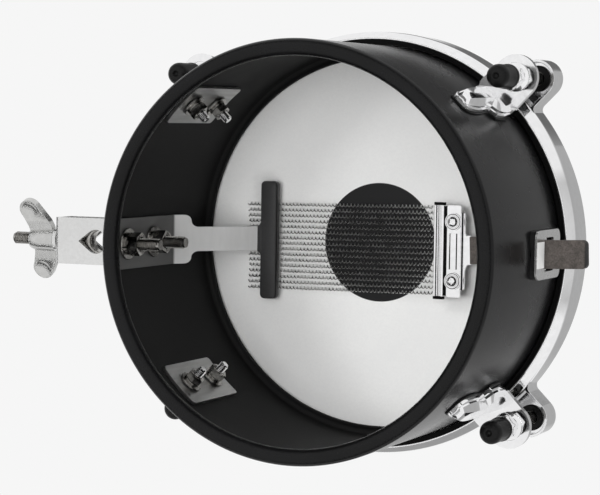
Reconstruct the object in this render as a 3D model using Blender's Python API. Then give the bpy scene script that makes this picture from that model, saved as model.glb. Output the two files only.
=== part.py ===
"""Snare timbale: a small steel drum with one head, a lever-worked snare and a rod clamp.

The drum stands on its open rim with the head on top. +X points to the snare lever's grip, -X to
the rod clamp, and the four lugs are at 45 degrees between them. The shell's axis is the parent
empty "drum", set off in X so that the whole object is centred on the origin.
"""

import bmesh
import bpy
from math import acos, cos, degrees, hypot, pi, radians, sin, sqrt, tan
from mathutils import Matrix

MM = 0.001

# Shell, a spun steel tube with a rolled bead below and a rolled bearing edge above
GAP = 0.3 * MM
ROUND_STEPS = 40
SMALL_STEPS = 12
SHELL_R = 128.0 * MM
SHELL_WALL = 1.2 * MM
BEAD_R = 5.2 * MM
EDGE_ROLL_R = 3.8 * MM
EDGE_TOP_Z = 144.5 * MM

# Head, its flesh hoop and the counter hoop with its ears
FILM_T = 0.4 * MM
FILM_Z = 144.9 * MM
HOOP_R = 137.15 * MM
HOOP_WALL = 1.7 * MM
HOOP_LOW_Z = 126.9 * MM
HOOP_BEND_Z = 136.0 * MM
HOOP_TOP_Z = 155.5 * MM
HOOP_FLANGE_IN = 4.2 * MM
EAR_R = 12.0 * MM
EAR_FILLET_R = 4.2 * MM
EAR_WEB_Z = (141.5 * MM, 143.5 * MM)

# Tension bolts, M8, with their nuts and rubber caps
CORNER_ANGLES = (-45, 45, 135, -135)
BOLT_CIRCLE_R = 152.0 * MM
M8_R = 4.0 * MM
M8_HOLE_R = M8_R + GAP
M8_FLATS = 13.0 * MM
CAP_R = 7.2 * MM
CAP_Z = (62.0 * MM, 85.0 * MM)
NUT_Z = (87.2 * MM, 95.7 * MM)

# Lugs, cast with two M6 studs, and the backing plates inside the shell
LUG_BASE_R = 129.2 * MM
LUG_PLATE_Z = (96.0 * MM, 100.0 * MM)
LUG_EYE_R = 14.0 * MM
LUG_PLATE_HALF = 14.4 * MM
LUG_PLATE_BASE_HALF = 12.5 * MM
LUG_SECTIONS = (
    # place along the drum, half width, side height, half width on top, top height, in mm
    (41.0, 2.8, 2.0, 1.6, 3.4),
    (43.0, 5.2, 3.4, 3.2, 5.6),
    (50.0, 7.4, 4.0, 4.2, 7.4),
    (57.0, 8.0, 4.2, 4.6, 8.2),
    (76.0, 6.4, 4.6, 4.2, 8.6),
    (83.0, 11.4, 4.8, 5.0, 8.0),
    (98.0, 12.4, 4.8, 8.0, 6.0),
)
M6_R = 3.0 * MM
M6_HOLE_R = M6_R + 0.5 * MM
M6_STEPS = 8
M6_FLATS = 10.0 * MM
STUD_Z = (46.5 * MM, 77.5 * MM)
STUD_END_R = 110.5 * MM
GASKET_R = (128.3 * MM, 128.9 * MM)
BACKING_R = (124.3 * MM, 126.3 * MM)
BACKING_Z = (30.5 * MM, 92.5 * MM)
BACKING_W = 32.0 * MM

# Rod clamp outside at -X, and the spring arm inside, on the same two M8 bolts
ARM_BOLT_Z = (26.4 * MM, 61.0 * MM)
CLAMP_T = 2.8 * MM
CLAMP_W = 29.6 * MM
CLAMP_FOOT_X = -129.7 * MM
CLAMP_WEB_X = -178.6 * MM
CLAMP_FLANGE_Z = (34.5 * MM, 53.0 * MM)
CLAMP_FOOT_END_Z = (18.5 * MM, 69.0 * MM)
ROD_HOLE_X = -149.5 * MM
ROD_HOLE_R = 7.6 * MM
ROD_HOLE_POINT_X = -161.8 * MM
EYE_X = -150.5 * MM
EYE_BOLT_END_X = -215.4 * MM
WASHER_X = (-183.0 * MM, -180.3 * MM)
WING_BASE_X = -183.3 * MM
WING_HUB_R = 7.9 * MM
WING_HUB_L = 19.5 * MM
WING_LOBE_AT = (21.3 * MM, 15.2 * MM)
WING_LOBE_R = 7.0 * MM
WING_T = 3.2 * MM
WING_TURN = -25.0
ARM_T = 2.0 * MM
ARM_WALL_X = -124.4 * MM
ARM_LOW_Z = 14.0 * MM
ARM_CREASE_Z = 89.7 * MM
ARM_TOP = (-88.4 * MM, 137.85 * MM)
ARM_TIP_X = -73.0 * MM
ARM_WIDE_HALF = 16.0 * MM
ARM_NARROW_HALF = 8.0 * MM
ARM_SHOULDER = 5.3 * MM
PAD_X = (-82.0 * MM, -70.0 * MM)
PAD_L = 78.4 * MM
PAD_Y = 0.8 * MM
PAD_Z = (135.0 * MM, 140.7 * MM)

# Snare: it tilts about a line over the pad, and its lever runs out through the shell at +X
PIVOT_X = -76.0 * MM
PIVOT_Z = 142.5 * MM
SNARE_DROP = 0.056
SNARE_SKEW = radians(2.0)
STRANDS = 16
STRAND_PITCH = 3.85 * MM
STRAND_R = 1.1 * MM
STRAND_X = (-18.0 * MM, 122.4 * MM)
END_PLATE_X = (117.0 * MM, 123.4 * MM)
END_PLATE_L = 62.3 * MM
TAIL_X = 137.0 * MM
CLAMP_PLATE_X = (127.7 * MM, 136.9 * MM)
CLAMP_PLATE_L = 59.0 * MM
CLAMP_SCREW_X = 132.3 * MM
CLAMP_SCREW_Y = 19.0 * MM
CLAMP_SCREW_R = 2.0 * MM
LEVER_T = 1.5 * MM
LEVER_Z = -0.75 * MM
LEVER_START_X = 124.2 * MM
LEVER_WIDE_END_X = 139.5 * MM
LEVER_BEND_X = 67.5 * MM
LEVER_WIDE_HALF = 24.8 * MM
LEVER_TONGUE_HALF = 9.5 * MM
LEVER_CORE_HALF = 6.0 * MM
GRIP_Z = 88.25 * MM
GRIP_END_X = 158.4 * MM
SLEEVE_HALF = 8.65 * MM
SLEEVE_T = 5.0 * MM

# Guide plate on its pad, outside the shell at +X
GUIDE_X = (130.5 * MM, 132.0 * MM)
GUIDE_HALF = 15.0 * MM
GUIDE_Z = (70.5 * MM, 116.0 * MM)
GUIDE_CORNER = 5.5 * MM
GUIDE_SLOT_HALF = 10.3 * MM
GUIDE_SLOT_Z = (85.3 * MM, 103.1 * MM)
SHELL_SLOT_HALF = 11.0 * MM
SHELL_SLOT_Z = (83.0 * MM, 106.0 * MM)

DRUM_X = -0.5 * (EYE_BOLT_END_X + GRIP_END_X)


def clear_scene():
    for obj in list(bpy.data.objects):
        bpy.data.objects.remove(obj, do_unlink=True)


def finish_material(name, colour, metallic, roughness):
    material = bpy.data.materials.new(name)
    material.use_nodes = True
    shader = material.node_tree.nodes["Principled BSDF"]
    shader.inputs["Base Color"].default_value = (*colour, 1.0)
    shader.inputs["Metallic"].default_value = metallic
    shader.inputs["Roughness"].default_value = roughness
    return material


# Outlines are lists of (x, y) points that run round a shape; angles are in degrees

def arc(x, y, radius, start, end, steps):
    turns = [radians(start + (end - start) * i / steps) for i in range(steps + 1)]
    return [(x + radius * cos(a), y + radius * sin(a)) for a in turns]


def circle(x, y, radius, steps):
    return arc(x, y, radius, 0, 360, steps)[:-1]


def rounded_box(x0, y0, x1, y1, radius, steps=3):
    points = arc(x1 - radius, y1 - radius, radius, 0, 90, steps)
    points += arc(x0 + radius, y1 - radius, radius, 90, 180, steps)
    points += arc(x0 + radius, y0 + radius, radius, 180, 270, steps)
    points += arc(x1 - radius, y0 + radius, radius, 270, 360, steps)
    return points


def mirrored(points):
    """A half outline and its mirror image in y, in one run."""
    return points + [(x, -y) for x, y in reversed(points)]


def rounded_path(points, radius, steps=3):
    """A bent line whose inner corners are turned into arcs."""
    path = [points[0]]
    for before, corner, after in zip(points, points[1:], points[2:]):
        back = unit(corner, before)
        ahead = unit(corner, after)
        turn = 1.0 - (back[0] * ahead[0] + back[1] * ahead[1])
        half = sqrt(turn / 2.0)
        reach = radius * sqrt(max(1.0 - half * half, 0.0)) / half
        start = (corner[0] + back[0] * reach, corner[1] + back[1] * reach)
        end = (corner[0] + ahead[0] * reach, corner[1] + ahead[1] * reach)
        for i in range(steps + 1):
            k = i / steps
            a, b, c = (1 - k) ** 2, 2 * k * (1 - k), k * k
            path.append((a * start[0] + b * corner[0] + c * end[0],
                         a * start[1] + b * corner[1] + c * end[1]))
    path.append(points[-1])
    return path


def unit(start, end):
    length = hypot(end[0] - start[0], end[1] - start[1])
    return ((end[0] - start[0]) / length, (end[1] - start[1]) / length)


# Solids are bmeshes, closed and with their faces outwards

def turned(profile, steps=ROUND_STEPS):
    """A profile of (radius, z) points spun round Z; it may start and end on the axis."""
    bm = bmesh.new()
    verts = [bm.verts.new((r, 0.0, z)) for r, z in profile]
    edges = [bm.edges.new(pair) for pair in zip(verts, verts[1:])]
    if profile[0][0] > 0.0:
        edges.append(bm.edges.new((verts[-1], verts[0])))
    bmesh.ops.spin(bm, geom=verts + edges, cent=(0, 0, 0), axis=(0, 0, 1), angle=2 * pi,
                   steps=steps, use_merge=True)
    bmesh.ops.remove_doubles(bm, verts=bm.verts, dist=1e-7)
    bmesh.ops.recalc_face_normals(bm, faces=bm.faces)
    return bm


def prism(outline, low, high, holes=()):
    """An outline, less its holes, given thickness between two heights."""
    bm = bmesh.new()
    edges = []
    for loop in (outline, *holes):
        verts = [bm.verts.new((x, y, low)) for x, y in loop]
        edges += [bm.edges.new(pair) for pair in zip(verts, verts[1:] + verts[:1])]
    bmesh.ops.triangle_fill(bm, edges=edges, use_beauty=True)
    raised = bmesh.ops.extrude_face_region(bm, geom=bm.faces[:])["geom"]
    tops = [item for item in raised if isinstance(item, bmesh.types.BMVert)]
    bmesh.ops.translate(bm, verts=tops, vec=(0, 0, high - low))
    bmesh.ops.recalc_face_normals(bm, faces=bm.faces)
    return bm


def loft(rings, endless=False):
    """A skin over rings of equal count, closed by flat ends or by its own first ring."""
    bm = bmesh.new()
    loops = [[bm.verts.new(point) for point in ring] for ring in rings]
    for low, high in zip(loops, loops[1:] + loops[:1] if endless else loops[1:]):
        for i, vert in enumerate(low):
            j = (i + 1) % len(low)
            bm.faces.new((vert, low[j], high[j], high[i]))
    if not endless:
        bm.faces.new(loops[0])
        bm.faces.new(loops[-1])
    bmesh.ops.recalc_face_normals(bm, faces=bm.faces)
    return bm


def round_ring(radius, z):
    return [(x, y, z) for x, y in circle(0.0, 0.0, radius, 12)]


def hex_ring(flats, z):
    """A hexagon's corners and the middles of its flats."""
    radii = (flats / sqrt(3), flats / 2)
    turns = [radians(30 * i) for i in range(12)]
    return [(radii[i % 2] * cos(a), radii[i % 2] * sin(a), z) for i, a in enumerate(turns)]


def ribbon(path, widths, thickness, side=0.0):
    """A strip bent in the XZ plane along a path; widths are (length along it, half width)."""
    lengths = [0.0]
    for a, b in zip(path, path[1:]):
        lengths.append(lengths[-1] + hypot(b[0] - a[0], b[1] - a[1]))
    marks = [s for s, half in widths if all(abs(s - t) > 0.05 * MM for t in lengths)]
    stations = sorted(lengths + [s for s in marks if s < lengths[-1]])
    rings = []
    for s in stations:
        i = max(k for k, start in enumerate(lengths[:-1]) if start <= s + 1e-9)
        here = unit(path[i], path[i + 1])
        last = unit(path[i - 1], path[i]) if i > 0 and abs(s - lengths[i]) < 1e-9 else here
        k = (s - lengths[i]) / (lengths[i + 1] - lengths[i])
        x = path[i][0] + (path[i + 1][0] - path[i][0]) * k
        z = path[i][1] + (path[i + 1][1] - path[i][1]) * k
        run = (here[0] + last[0], here[1] + last[1])
        size = hypot(*run)
        normal = (-run[1] / size, run[0] / size)
        mitre = normal[1] * here[0] - normal[0] * here[1]
        reach = 0.5 * thickness / mitre
        half = half_width_at(widths, s)
        up = (x + normal[0] * reach, z + normal[1] * reach)
        down = (x - normal[0] * reach, z - normal[1] * reach)
        rings.append([(up[0], side - half, up[1]), (up[0], side + half, up[1]),
                      (down[0], side + half, down[1]), (down[0], side - half, down[1])])
    return loft(rings)


def half_width_at(widths, s):
    if s <= widths[0][0]:
        return widths[0][1]
    for (s0, half0), (s1, half1) in zip(widths, widths[1:]):
        if s <= s1:
            return half0 + (half1 - half0) * (s - s0) / (s1 - s0)
    return widths[-1][1]


def moved(bm, matrix):
    bmesh.ops.transform(bm, matrix=matrix, verts=bm.verts)
    return bm


def along_x(bm):
    """Turn a solid built along Z so that its X, Y and Z become Y, Z and X."""
    return moved(bm, Matrix(((0, 0, 1, 0), (1, 0, 0, 0), (0, 1, 0, 0), (0, 0, 0, 1))))


def along_y(bm):
    """Turn a solid built along Z so that its X, Y and Z become X, Z and -Y."""
    return moved(bm, Matrix(((1, 0, 0, 0), (0, 0, -1, 0), (0, 1, 0, 0), (0, 0, 0, 1))))


def rod(radius, start, end, steps=SMALL_STEPS):
    """A round bar between two heights."""
    return turned([(0.0, start), (radius, start), (radius, end), (0.0, end)], steps)


def placed(bm, x=0.0, y=0.0, z=0.0):
    return moved(bm, Matrix.Translation((x, y, z)))


def wall_plate(outline, radii, spans):
    """A plate bent round the drum's axis at +X, its outline given as (z, half width)."""
    shares = [2.0 * i / spans - 1.0 for i in range(spans + 1)]
    rings = []
    for z, half in outline:
        turns = [half * k / SHELL_R for k in shares]
        ring = [(radii[0] * cos(a), radii[0] * sin(a), z) for a in turns]
        ring += [(radii[1] * cos(a), radii[1] * sin(a), z) for a in reversed(turns)]
        rings.append(ring)
    return loft(rings)


# Objects

def make_object(name, bm):
    mesh = bpy.data.meshes.new(name)
    bm.to_mesh(mesh)
    bm.free()
    obj = bpy.data.objects.new(name, mesh)
    bpy.context.collection.objects.link(obj)
    return obj


def combine(obj, bm, operation):
    """Join a solid to an object, or cut it away, with an exact Boolean."""
    tool = make_object("tool", bm)
    boolean = obj.modifiers.new("combine", "BOOLEAN")
    boolean.operation = operation
    boolean.solver = "EXACT"
    boolean.object = tool
    graph = bpy.context.evaluated_depsgraph_get()
    mesh = bpy.data.meshes.new_from_object(obj.evaluated_get(graph))
    obj.modifiers.clear()
    old = obj.data
    obj.data = mesh
    mesh.name = obj.name
    bpy.data.meshes.remove(old)
    bpy.data.objects.remove(tool, do_unlink=True)


def piece(name, bm, material, parent, place=(0, 0, 0), turn=(0, 0, 0), join=(), cut=()):
    """A finished sub-part: a solid with others joined to it and cut from it, set in place."""
    obj = make_object(name, bm)
    for solid in join:
        combine(obj, solid, "UNION")
    for solid in cut:
        combine(obj, solid, "DIFFERENCE")
    obj.data.materials.clear()
    obj.data.materials.append(material)
    obj.data.shade_smooth()
    obj.data.set_sharp_from_angle(angle=radians(32))
    obj.parent = parent
    obj.location = place
    obj.rotation_euler = turn
    return obj


def copy_of(obj, name, place, turn):
    twin = obj.copy()
    twin.name = name
    bpy.context.collection.objects.link(twin)
    twin.location = place
    twin.rotation_euler = turn
    return twin


def empty(name, parent=None, place=(0, 0, 0), turn=(0, 0, 0)):
    obj = bpy.data.objects.new(name, None)
    bpy.context.collection.objects.link(obj)
    obj.parent = parent
    obj.location = place
    obj.rotation_euler = turn
    return obj


def round_the_drum(angle, radius, z=0.0):
    return (radius * cos(radians(angle)), radius * sin(radians(angle)), z)


# The shell

def shell_path(inset):
    """The wall's outer or inner line, from the bearing edge down and round the bead."""
    edge_steps, bead_steps = (2, 6) if inset else (4, 9)
    edge = arc(SHELL_R - EDGE_ROLL_R, EDGE_TOP_Z - EDGE_ROLL_R, EDGE_ROLL_R - inset,
               200, 0, edge_steps)
    facet = 135 / bead_steps
    bead = arc(SHELL_R - BEAD_R, BEAD_R, (BEAD_R - inset) / cos(radians(facet)),
               -facet, -facet - 270, bead_steps)
    return edge + bead


def radial_hole(radius, angle, z, steps=SMALL_STEPS):
    """A hole through the wall, its corners set off the wall's own upright edges."""
    hole = rod(radius, 118 * MM, 136 * MM, steps)
    hole = along_x(moved(hole, Matrix.Rotation(pi / steps, 4, "Z")))
    return moved(placed(hole, z=z), Matrix.Rotation(radians(angle), 4, "Z"))


def make_shell(parent, material):
    slot = rounded_box(-SHELL_SLOT_HALF, SHELL_SLOT_Z[0], SHELL_SLOT_HALF, SHELL_SLOT_Z[1], 2 * MM)
    cuts = [along_x(prism(slot, 118 * MM, 136 * MM))]
    cuts += [radial_hole(M6_HOLE_R, angle, z, M6_STEPS) for angle in CORNER_ANGLES for z in STUD_Z]
    cuts += [radial_hole(M8_HOLE_R, 180, z) for z in ARM_BOLT_Z]
    profile = shell_path(0.0) + shell_path(SHELL_WALL)[::-1]
    piece("shell", turned(profile), material, parent, cut=cuts)


# The head: film over the bearing edge, its collar held in a channel of the flesh hoop

def make_head(parent, film_material, hoop_material):
    roll_r, roll_z = SHELL_R - EDGE_ROLL_R, EDGE_TOP_Z - EDGE_ROLL_R
    inner_bend = FILM_Z - roll_z
    under = [(0.0, FILM_Z)] + arc(roll_r, roll_z, inner_bend, 90, 0, 2)
    over = [(0.0, FILM_Z + FILM_T)] + arc(roll_r, roll_z, inner_bend + FILM_T, 90, 0, 2)
    collar_r = roll_r + inner_bend
    for path, r in ((under, collar_r), (over, collar_r + FILM_T)):
        path += [(r + 1.2 * MM, 132.6 * MM), (r + 1.2 * MM, 129.0 * MM)]
    piece("head_film", turned(under + over[::-1]), film_material, parent)

    low, groove = 125.9 * MM, 128.7 * MM
    film_in, film_out = collar_r + 1.2 * MM, collar_r + 1.2 * MM + FILM_T
    lip_r, skin = 132.1 * MM, 0.5 * MM
    profile = [
        (film_in - GAP - skin, low), (lip_r, low), (lip_r, low + 1.1 * MM),
        (film_out + GAP + skin, low + 1.4 * MM), (film_out + GAP, 132.0 * MM),
        (film_out + GAP, groove), (film_in - GAP, groove), (film_in - GAP, 131.0 * MM),
    ]
    piece("flesh_hoop", turned(profile), hoop_material, parent)


# The counter hoop: a steel band whose lower flange leans in to the flesh hoop, with four ears

def hoop_profile():
    wall_in = HOOP_R - HOOP_WALL
    flange_r = HOOP_R - HOOP_FLANGE_IN
    soft = 0.5 * MM
    return [
        (flange_r, HOOP_LOW_Z), (HOOP_R, HOOP_BEND_Z), (HOOP_R, HOOP_TOP_Z - soft),
        (HOOP_R - soft, HOOP_TOP_Z), (wall_in + soft, HOOP_TOP_Z), (wall_in, HOOP_TOP_Z - soft),
        (wall_in, HOOP_BEND_Z + 0.4 * MM), (flange_r - 1.54 * MM, HOOP_LOW_Z + 0.72 * MM),
    ]


def ear_outline():
    fillet_y = EAR_R + EAR_FILLET_R
    fillet_x = sqrt((HOOP_R + EAR_FILLET_R) ** 2 - fillet_y ** 2) - 0.15 * MM
    half = [(135.9 * MM, 14.7 * MM)]
    half += arc(fillet_x, fillet_y, EAR_FILLET_R, 200, 270, 2)
    half += arc(BOLT_CIRCLE_R, 0.0, EAR_R, 90, 9, 4)
    return mirrored(half)


def ear_pocket():
    inner = EAR_R - HOOP_WALL
    half = [(HOOP_R + 0.45 * MM, inner)]
    half += arc(BOLT_CIRCLE_R, 0.0, inner, 90, 9, 4)
    return mirrored(half)


def ear(angle):
    """A wrapped ear: a wall round the bolt with a web across it, open above and below."""
    low, high = HOOP_BEND_Z + 0.4 * MM, HOOP_TOP_Z - 0.4 * MM
    obj = make_object("ear", prism(ear_outline(), low, high))
    hole = rod(M8_HOLE_R, EAR_WEB_Z[0] - 2 * MM, EAR_WEB_Z[1] + 2 * MM)
    combine(obj, prism(ear_pocket(), low - 1 * MM, EAR_WEB_Z[0]), "DIFFERENCE")
    combine(obj, prism(ear_pocket(), EAR_WEB_Z[1], high + 1 * MM), "DIFFERENCE")
    combine(obj, placed(hole, x=BOLT_CIRCLE_R), "DIFFERENCE")
    bm = bmesh.new()
    bm.from_mesh(obj.data)
    bpy.data.objects.remove(obj, do_unlink=True)
    return moved(bm, Matrix.Rotation(radians(angle), 4, "Z"))


def make_counter_hoop(parent, material):
    ears = [ear(angle) for angle in CORNER_ANGLES]
    piece("counter_hoop", turned(hoop_profile()), material, parent, join=ears)


# Tension bolts, caps and nuts, one set at each corner

def make_tension_set(hoop_parent, drum, steel, rubber):
    seat = EAR_WEB_Z[1] + GAP
    washer_top = seat + 1.6 * MM
    head_top = washer_top + 5.4 * MM
    end = CAP_Z[0] + 6 * MM
    bolt = loft([round_ring(M8_R, end), round_ring(M8_R, seat), round_ring(8.4 * MM, seat),
                 round_ring(8.4 * MM, washer_top), hex_ring(M8_FLATS, washer_top),
                 hex_ring(M8_FLATS, head_top)])
    low, high = NUT_Z
    flange_z = high - 1.6 * MM
    nut = loft([round_ring(M8_HOLE_R, low), hex_ring(M8_FLATS, low), hex_ring(M8_FLATS, flange_z),
                round_ring(9 * MM, flange_z), round_ring(9 * MM, high),
                round_ring(M8_HOLE_R, high)], endless=True)
    low, high = CAP_Z
    dome = [(0.0, low + 0.8 * MM), (1.6 * MM, low), (5.2 * MM, low + 1.2 * MM),
            (CAP_R, low + 4 * MM)]
    rim = [(CAP_R, high - 3 * MM), (CAP_R + 0.4 * MM, high)]
    bore = [(M8_HOLE_R, high), (M8_HOLE_R, end - GAP), (0.0, end - GAP)]
    first = round_the_drum(CORNER_ANGLES[0], BOLT_CIRCLE_R)
    spin = (0, 0, radians(CORNER_ANGLES[0]))
    sets = (
        piece("tension_bolt_1", bolt, steel, hoop_parent, first, spin),
        piece("thread_cap_1", turned(dome + rim + bore, SMALL_STEPS), rubber, hoop_parent,
              first, spin),
        piece("tension_nut_1", nut, steel, drum, first, spin),
    )
    for obj in sets:
        stem = obj.name[:-1]
        for i, angle in enumerate(CORNER_ANGLES[1:], start=2):
            place = round_the_drum(angle, BOLT_CIRCLE_R)
            copy_of(obj, f"{stem}{i}", place, (0, 0, radians(angle)))


# Lugs: a cast foot that swells towards an eye plate square to the shell, and two studs

def lug_body():
    rings = []
    for z, half, side, top_half, top in LUG_SECTIONS:
        z, half, side, top_half, top = (v * MM for v in (z, half, side, top_half, top))
        ring = []
        for k in (-1.0, -0.5, 0.0, 0.5, 1.0):
            y = half * k
            ring.append((sqrt(LUG_BASE_R ** 2 - y * y), y, z))
        edge_x = ring[0][0]
        ring += [(edge_x + side, half, z), (LUG_BASE_R + top, top_half, z),
                 (LUG_BASE_R + top, -top_half, z), (edge_x + side, -half, z)]
        rings.append(ring)
    return loft(rings)


def lug_plate():
    base = LUG_BASE_R + 0.2 * MM
    half = [(sqrt(base ** 2 - y * y), y) for y in (0.4 * LUG_PLATE_HALF, LUG_PLATE_BASE_HALF)]
    half.append((LUG_BASE_R + 4.8 * MM, LUG_PLATE_HALF))
    half += arc(BOLT_CIRCLE_R, 0.0, LUG_EYE_R, 93, 9, 5)
    return prism(mirrored(half), *LUG_PLATE_Z)


def stud(z):
    return placed(along_x(rod(M6_R, STUD_END_R, LUG_BASE_R + 2.2 * MM, M6_STEPS)), z=z)


def stud_holes():
    return [radial_hole(M6_HOLE_R, 0, z, M6_STEPS) for z in STUD_Z]


def make_lugs(parent, chrome, rubber, plate_steel):
    eye_hole = placed(rod(M8_HOLE_R, 90 * MM, 106 * MM), x=BOLT_CIRCLE_R)
    spin = (0, 0, radians(CORNER_ANGLES[0]))
    margin = 0.6 * MM
    first_z, *rest = [(z * MM, half * MM + margin) for z, half, *heights in LUG_SECTIONS[:-1]]
    foot = [(first_z[0] - margin, first_z[1])] + rest
    foot.append((LUG_PLATE_Z[1] + margin, LUG_PLATE_BASE_HALF + margin))
    gasket = wall_plate(foot, GASKET_R, 2)
    low, high = BACKING_Z
    half = BACKING_W / 2
    ends = [(0.0, half - 3 * MM), (0.9 * MM, half - 0.9 * MM), (3 * MM, half)]
    outline = [(low + z, w) for z, w in ends] + [(high - z, w) for z, w in reversed(ends)]
    backing = wall_plate(outline, BACKING_R, 2)
    sets = (
        piece("lug_1", lug_body(), chrome, parent, turn=spin,
              join=[lug_plate()] + [stud(z) for z in STUD_Z], cut=[eye_hole]),
        piece("lug_gasket_1", gasket, rubber, parent, turn=spin, cut=stud_holes()),
        piece("backing_plate_1", backing, plate_steel, parent, turn=spin, cut=stud_holes()),
    )
    for obj in sets:
        stem = obj.name[:-1]
        for i, angle in enumerate(CORNER_ANGLES[1:], start=2):
            copy_of(obj, f"{stem}{i}", (0, 0, 0), (0, 0, radians(angle)))


def washered_nut(flats, height, hole_r, washers):
    """A hexagon nut on its washers, given as (radius, top), with the seat at z 0."""
    rings = [round_ring(hole_r, 0.0)]
    low = 0.0
    for radius, high in washers:
        rings += [round_ring(radius, low), round_ring(radius, high)]
        low = high
    top = low + height
    rings += [hex_ring(flats, low), hex_ring(flats, top), round_ring(hole_r, top)]
    return loft(rings, endless=True)


def make_lug_nuts(parent, steel):
    nut = washered_nut(M6_FLATS, 6 * MM, M6_R + GAP, [(7.6 * MM, 1.4 * MM)])
    seat = BACKING_R[0] - 0.6 * MM
    places = [(angle, z) for angle in CORNER_ANGLES for z in STUD_Z]
    first = None
    for i, (angle, z) in enumerate(places, start=1):
        place = round_the_drum(angle, seat, z)
        turn = (0, -pi / 2, radians(angle))
        if first is None:
            first = piece(f"lug_nut_{i}", nut, steel, parent, place, turn)
        else:
            copy_of(first, f"lug_nut_{i}", place, turn)


# Rod clamp: a U of thick strip with feet, bolted to the shell, and its eye bolt

def teardrop():
    """The rod hole: a circle drawn out to a point away from the shell."""
    reach = ROD_HOLE_X - ROD_HOLE_POINT_X
    tangent = degrees(acos(ROD_HOLE_R / reach))
    half = [(ROD_HOLE_POINT_X, 0.2 * MM)]
    half += arc(ROD_HOLE_X, 0.0, ROD_HOLE_R, 180 - tangent, 10, 6)
    return mirrored(half)


def cross_hole(radius, z, start, end):
    return placed(along_x(rod(radius, start, end)), z=z)


def make_rod_clamp(parent, material):
    low, high = CLAMP_FLANGE_Z
    points = [(CLAMP_FOOT_X, CLAMP_FOOT_END_Z[0]), (CLAMP_FOOT_X, low), (CLAMP_WEB_X, low),
              (CLAMP_WEB_X, high), (CLAMP_FOOT_X, high), (CLAMP_FOOT_X, CLAMP_FOOT_END_Z[1])]
    half = CLAMP_W / 2
    strip = ribbon(rounded_path(points, 2.2 * MM), [(0.0, half), (1.0, half)], CLAMP_T)
    mid = (low + high) / 2
    cuts = [prism(teardrop(), low - 4 * MM, high + 4 * MM),
            cross_hole(M8_HOLE_R, mid, CLAMP_WEB_X - 4 * MM, CLAMP_WEB_X + 4 * MM)]
    cuts += [cross_hole(M8_HOLE_R, z, CLAMP_FOOT_X - 4 * MM, CLAMP_FOOT_X + 4 * MM)
             for z in ARM_BOLT_Z]
    piece("clamp_bracket", strip, material, parent, cut=cuts)


def wing():
    """One wing's outline, out from the hub and along it from the base."""
    lobe = arc(*WING_LOBE_AT, WING_LOBE_R, -60, 110, 6)
    return [(6 * MM, 1.2 * MM), (13.5 * MM, 2.6 * MM)] + lobe + [(6 * MM, 18 * MM)]


def make_eye_bolt(drum, slide, steel, chrome):
    ring = [(6.8 * MM, -4.5 * MM), (10.3 * MM, -4.5 * MM), (11.5 * MM, -3.3 * MM),
            (11.5 * MM, 3.3 * MM), (10.3 * MM, 4.5 * MM), (6.8 * MM, 4.5 * MM)]
    shank = along_x(rod(M8_R, EYE_BOLT_END_X - EYE_X, -9 * MM))
    piece("eye_bolt", turned(ring, 20), steel, slide, join=[shank])

    mid = sum(CLAMP_FLANGE_Z) / 2
    length = WASHER_X[1] - WASHER_X[0]
    washer = prism(circle(0, 0, 9 * MM, 16), 0.0, length, holes=[circle(0, 0, M8_HOLE_R, 12)])
    outward = (0, -pi / 2, 0)
    piece("clamp_washer", washer, steel, drum, (WASHER_X[1], 0, mid), outward)

    hub = [(M8_HOLE_R, 0.0), (WING_HUB_R, 0.0), (WING_HUB_R, WING_HUB_L - 3 * MM)]
    hub += arc(WING_HUB_R - 2.4 * MM, WING_HUB_L - 2.4 * MM, 2.4 * MM, 15, 90, 3)
    hub.append((M8_HOLE_R, WING_HUB_L))
    wings = [moved(along_x(prism(wing(), -WING_T / 2, WING_T / 2)),
                   Matrix.Rotation(radians(WING_TURN + half_turn), 4, "Z")) for half_turn in (0, 180)]
    piece("wing_nut", turned(hub, 16), chrome, drum, (WING_BASE_X, 0, mid), outward, join=wings)


def make_arm_bolts(parent, steel):
    seat = CLAMP_FOOT_X - CLAMP_T / 2 - GAP
    inward = (0, pi / 2, 0)
    shank_end = -99 * MM - seat
    head = [(0.0, -4.2 * MM), (2.8 * MM, -4.2 * MM), (4.8 * MM, -3.2 * MM), (5.8 * MM, -1.4 * MM),
            (5.8 * MM, 0.0), (M8_R, 0.0), (M8_R, shank_end - 0.8 * MM),
            (M8_R - 0.8 * MM, shank_end), (0.0, shank_end)]
    low, high = ARM_BOLT_Z
    solid = turned(head, SMALL_STEPS)
    bolt = piece("arm_bolt_1", solid, steel, parent, (seat, 0, low), inward)
    copy_of(bolt, "arm_bolt_2", (seat, 0, high), inward)
    washers = [(10 * MM, 1.6 * MM), (7.2 * MM, 3.6 * MM)]
    solid = washered_nut(M8_FLATS, 6.8 * MM, M8_HOLE_R, washers)
    face = ARM_WALL_X + ARM_T / 2 + GAP
    nut = piece("arm_nut_1", solid, steel, parent, (face, 0, low), inward)
    copy_of(nut, "arm_nut_2", (face, 0, high), inward)


# Spring arm: a plate on the wall that narrows to a strip and carries the pad under the head

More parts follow.
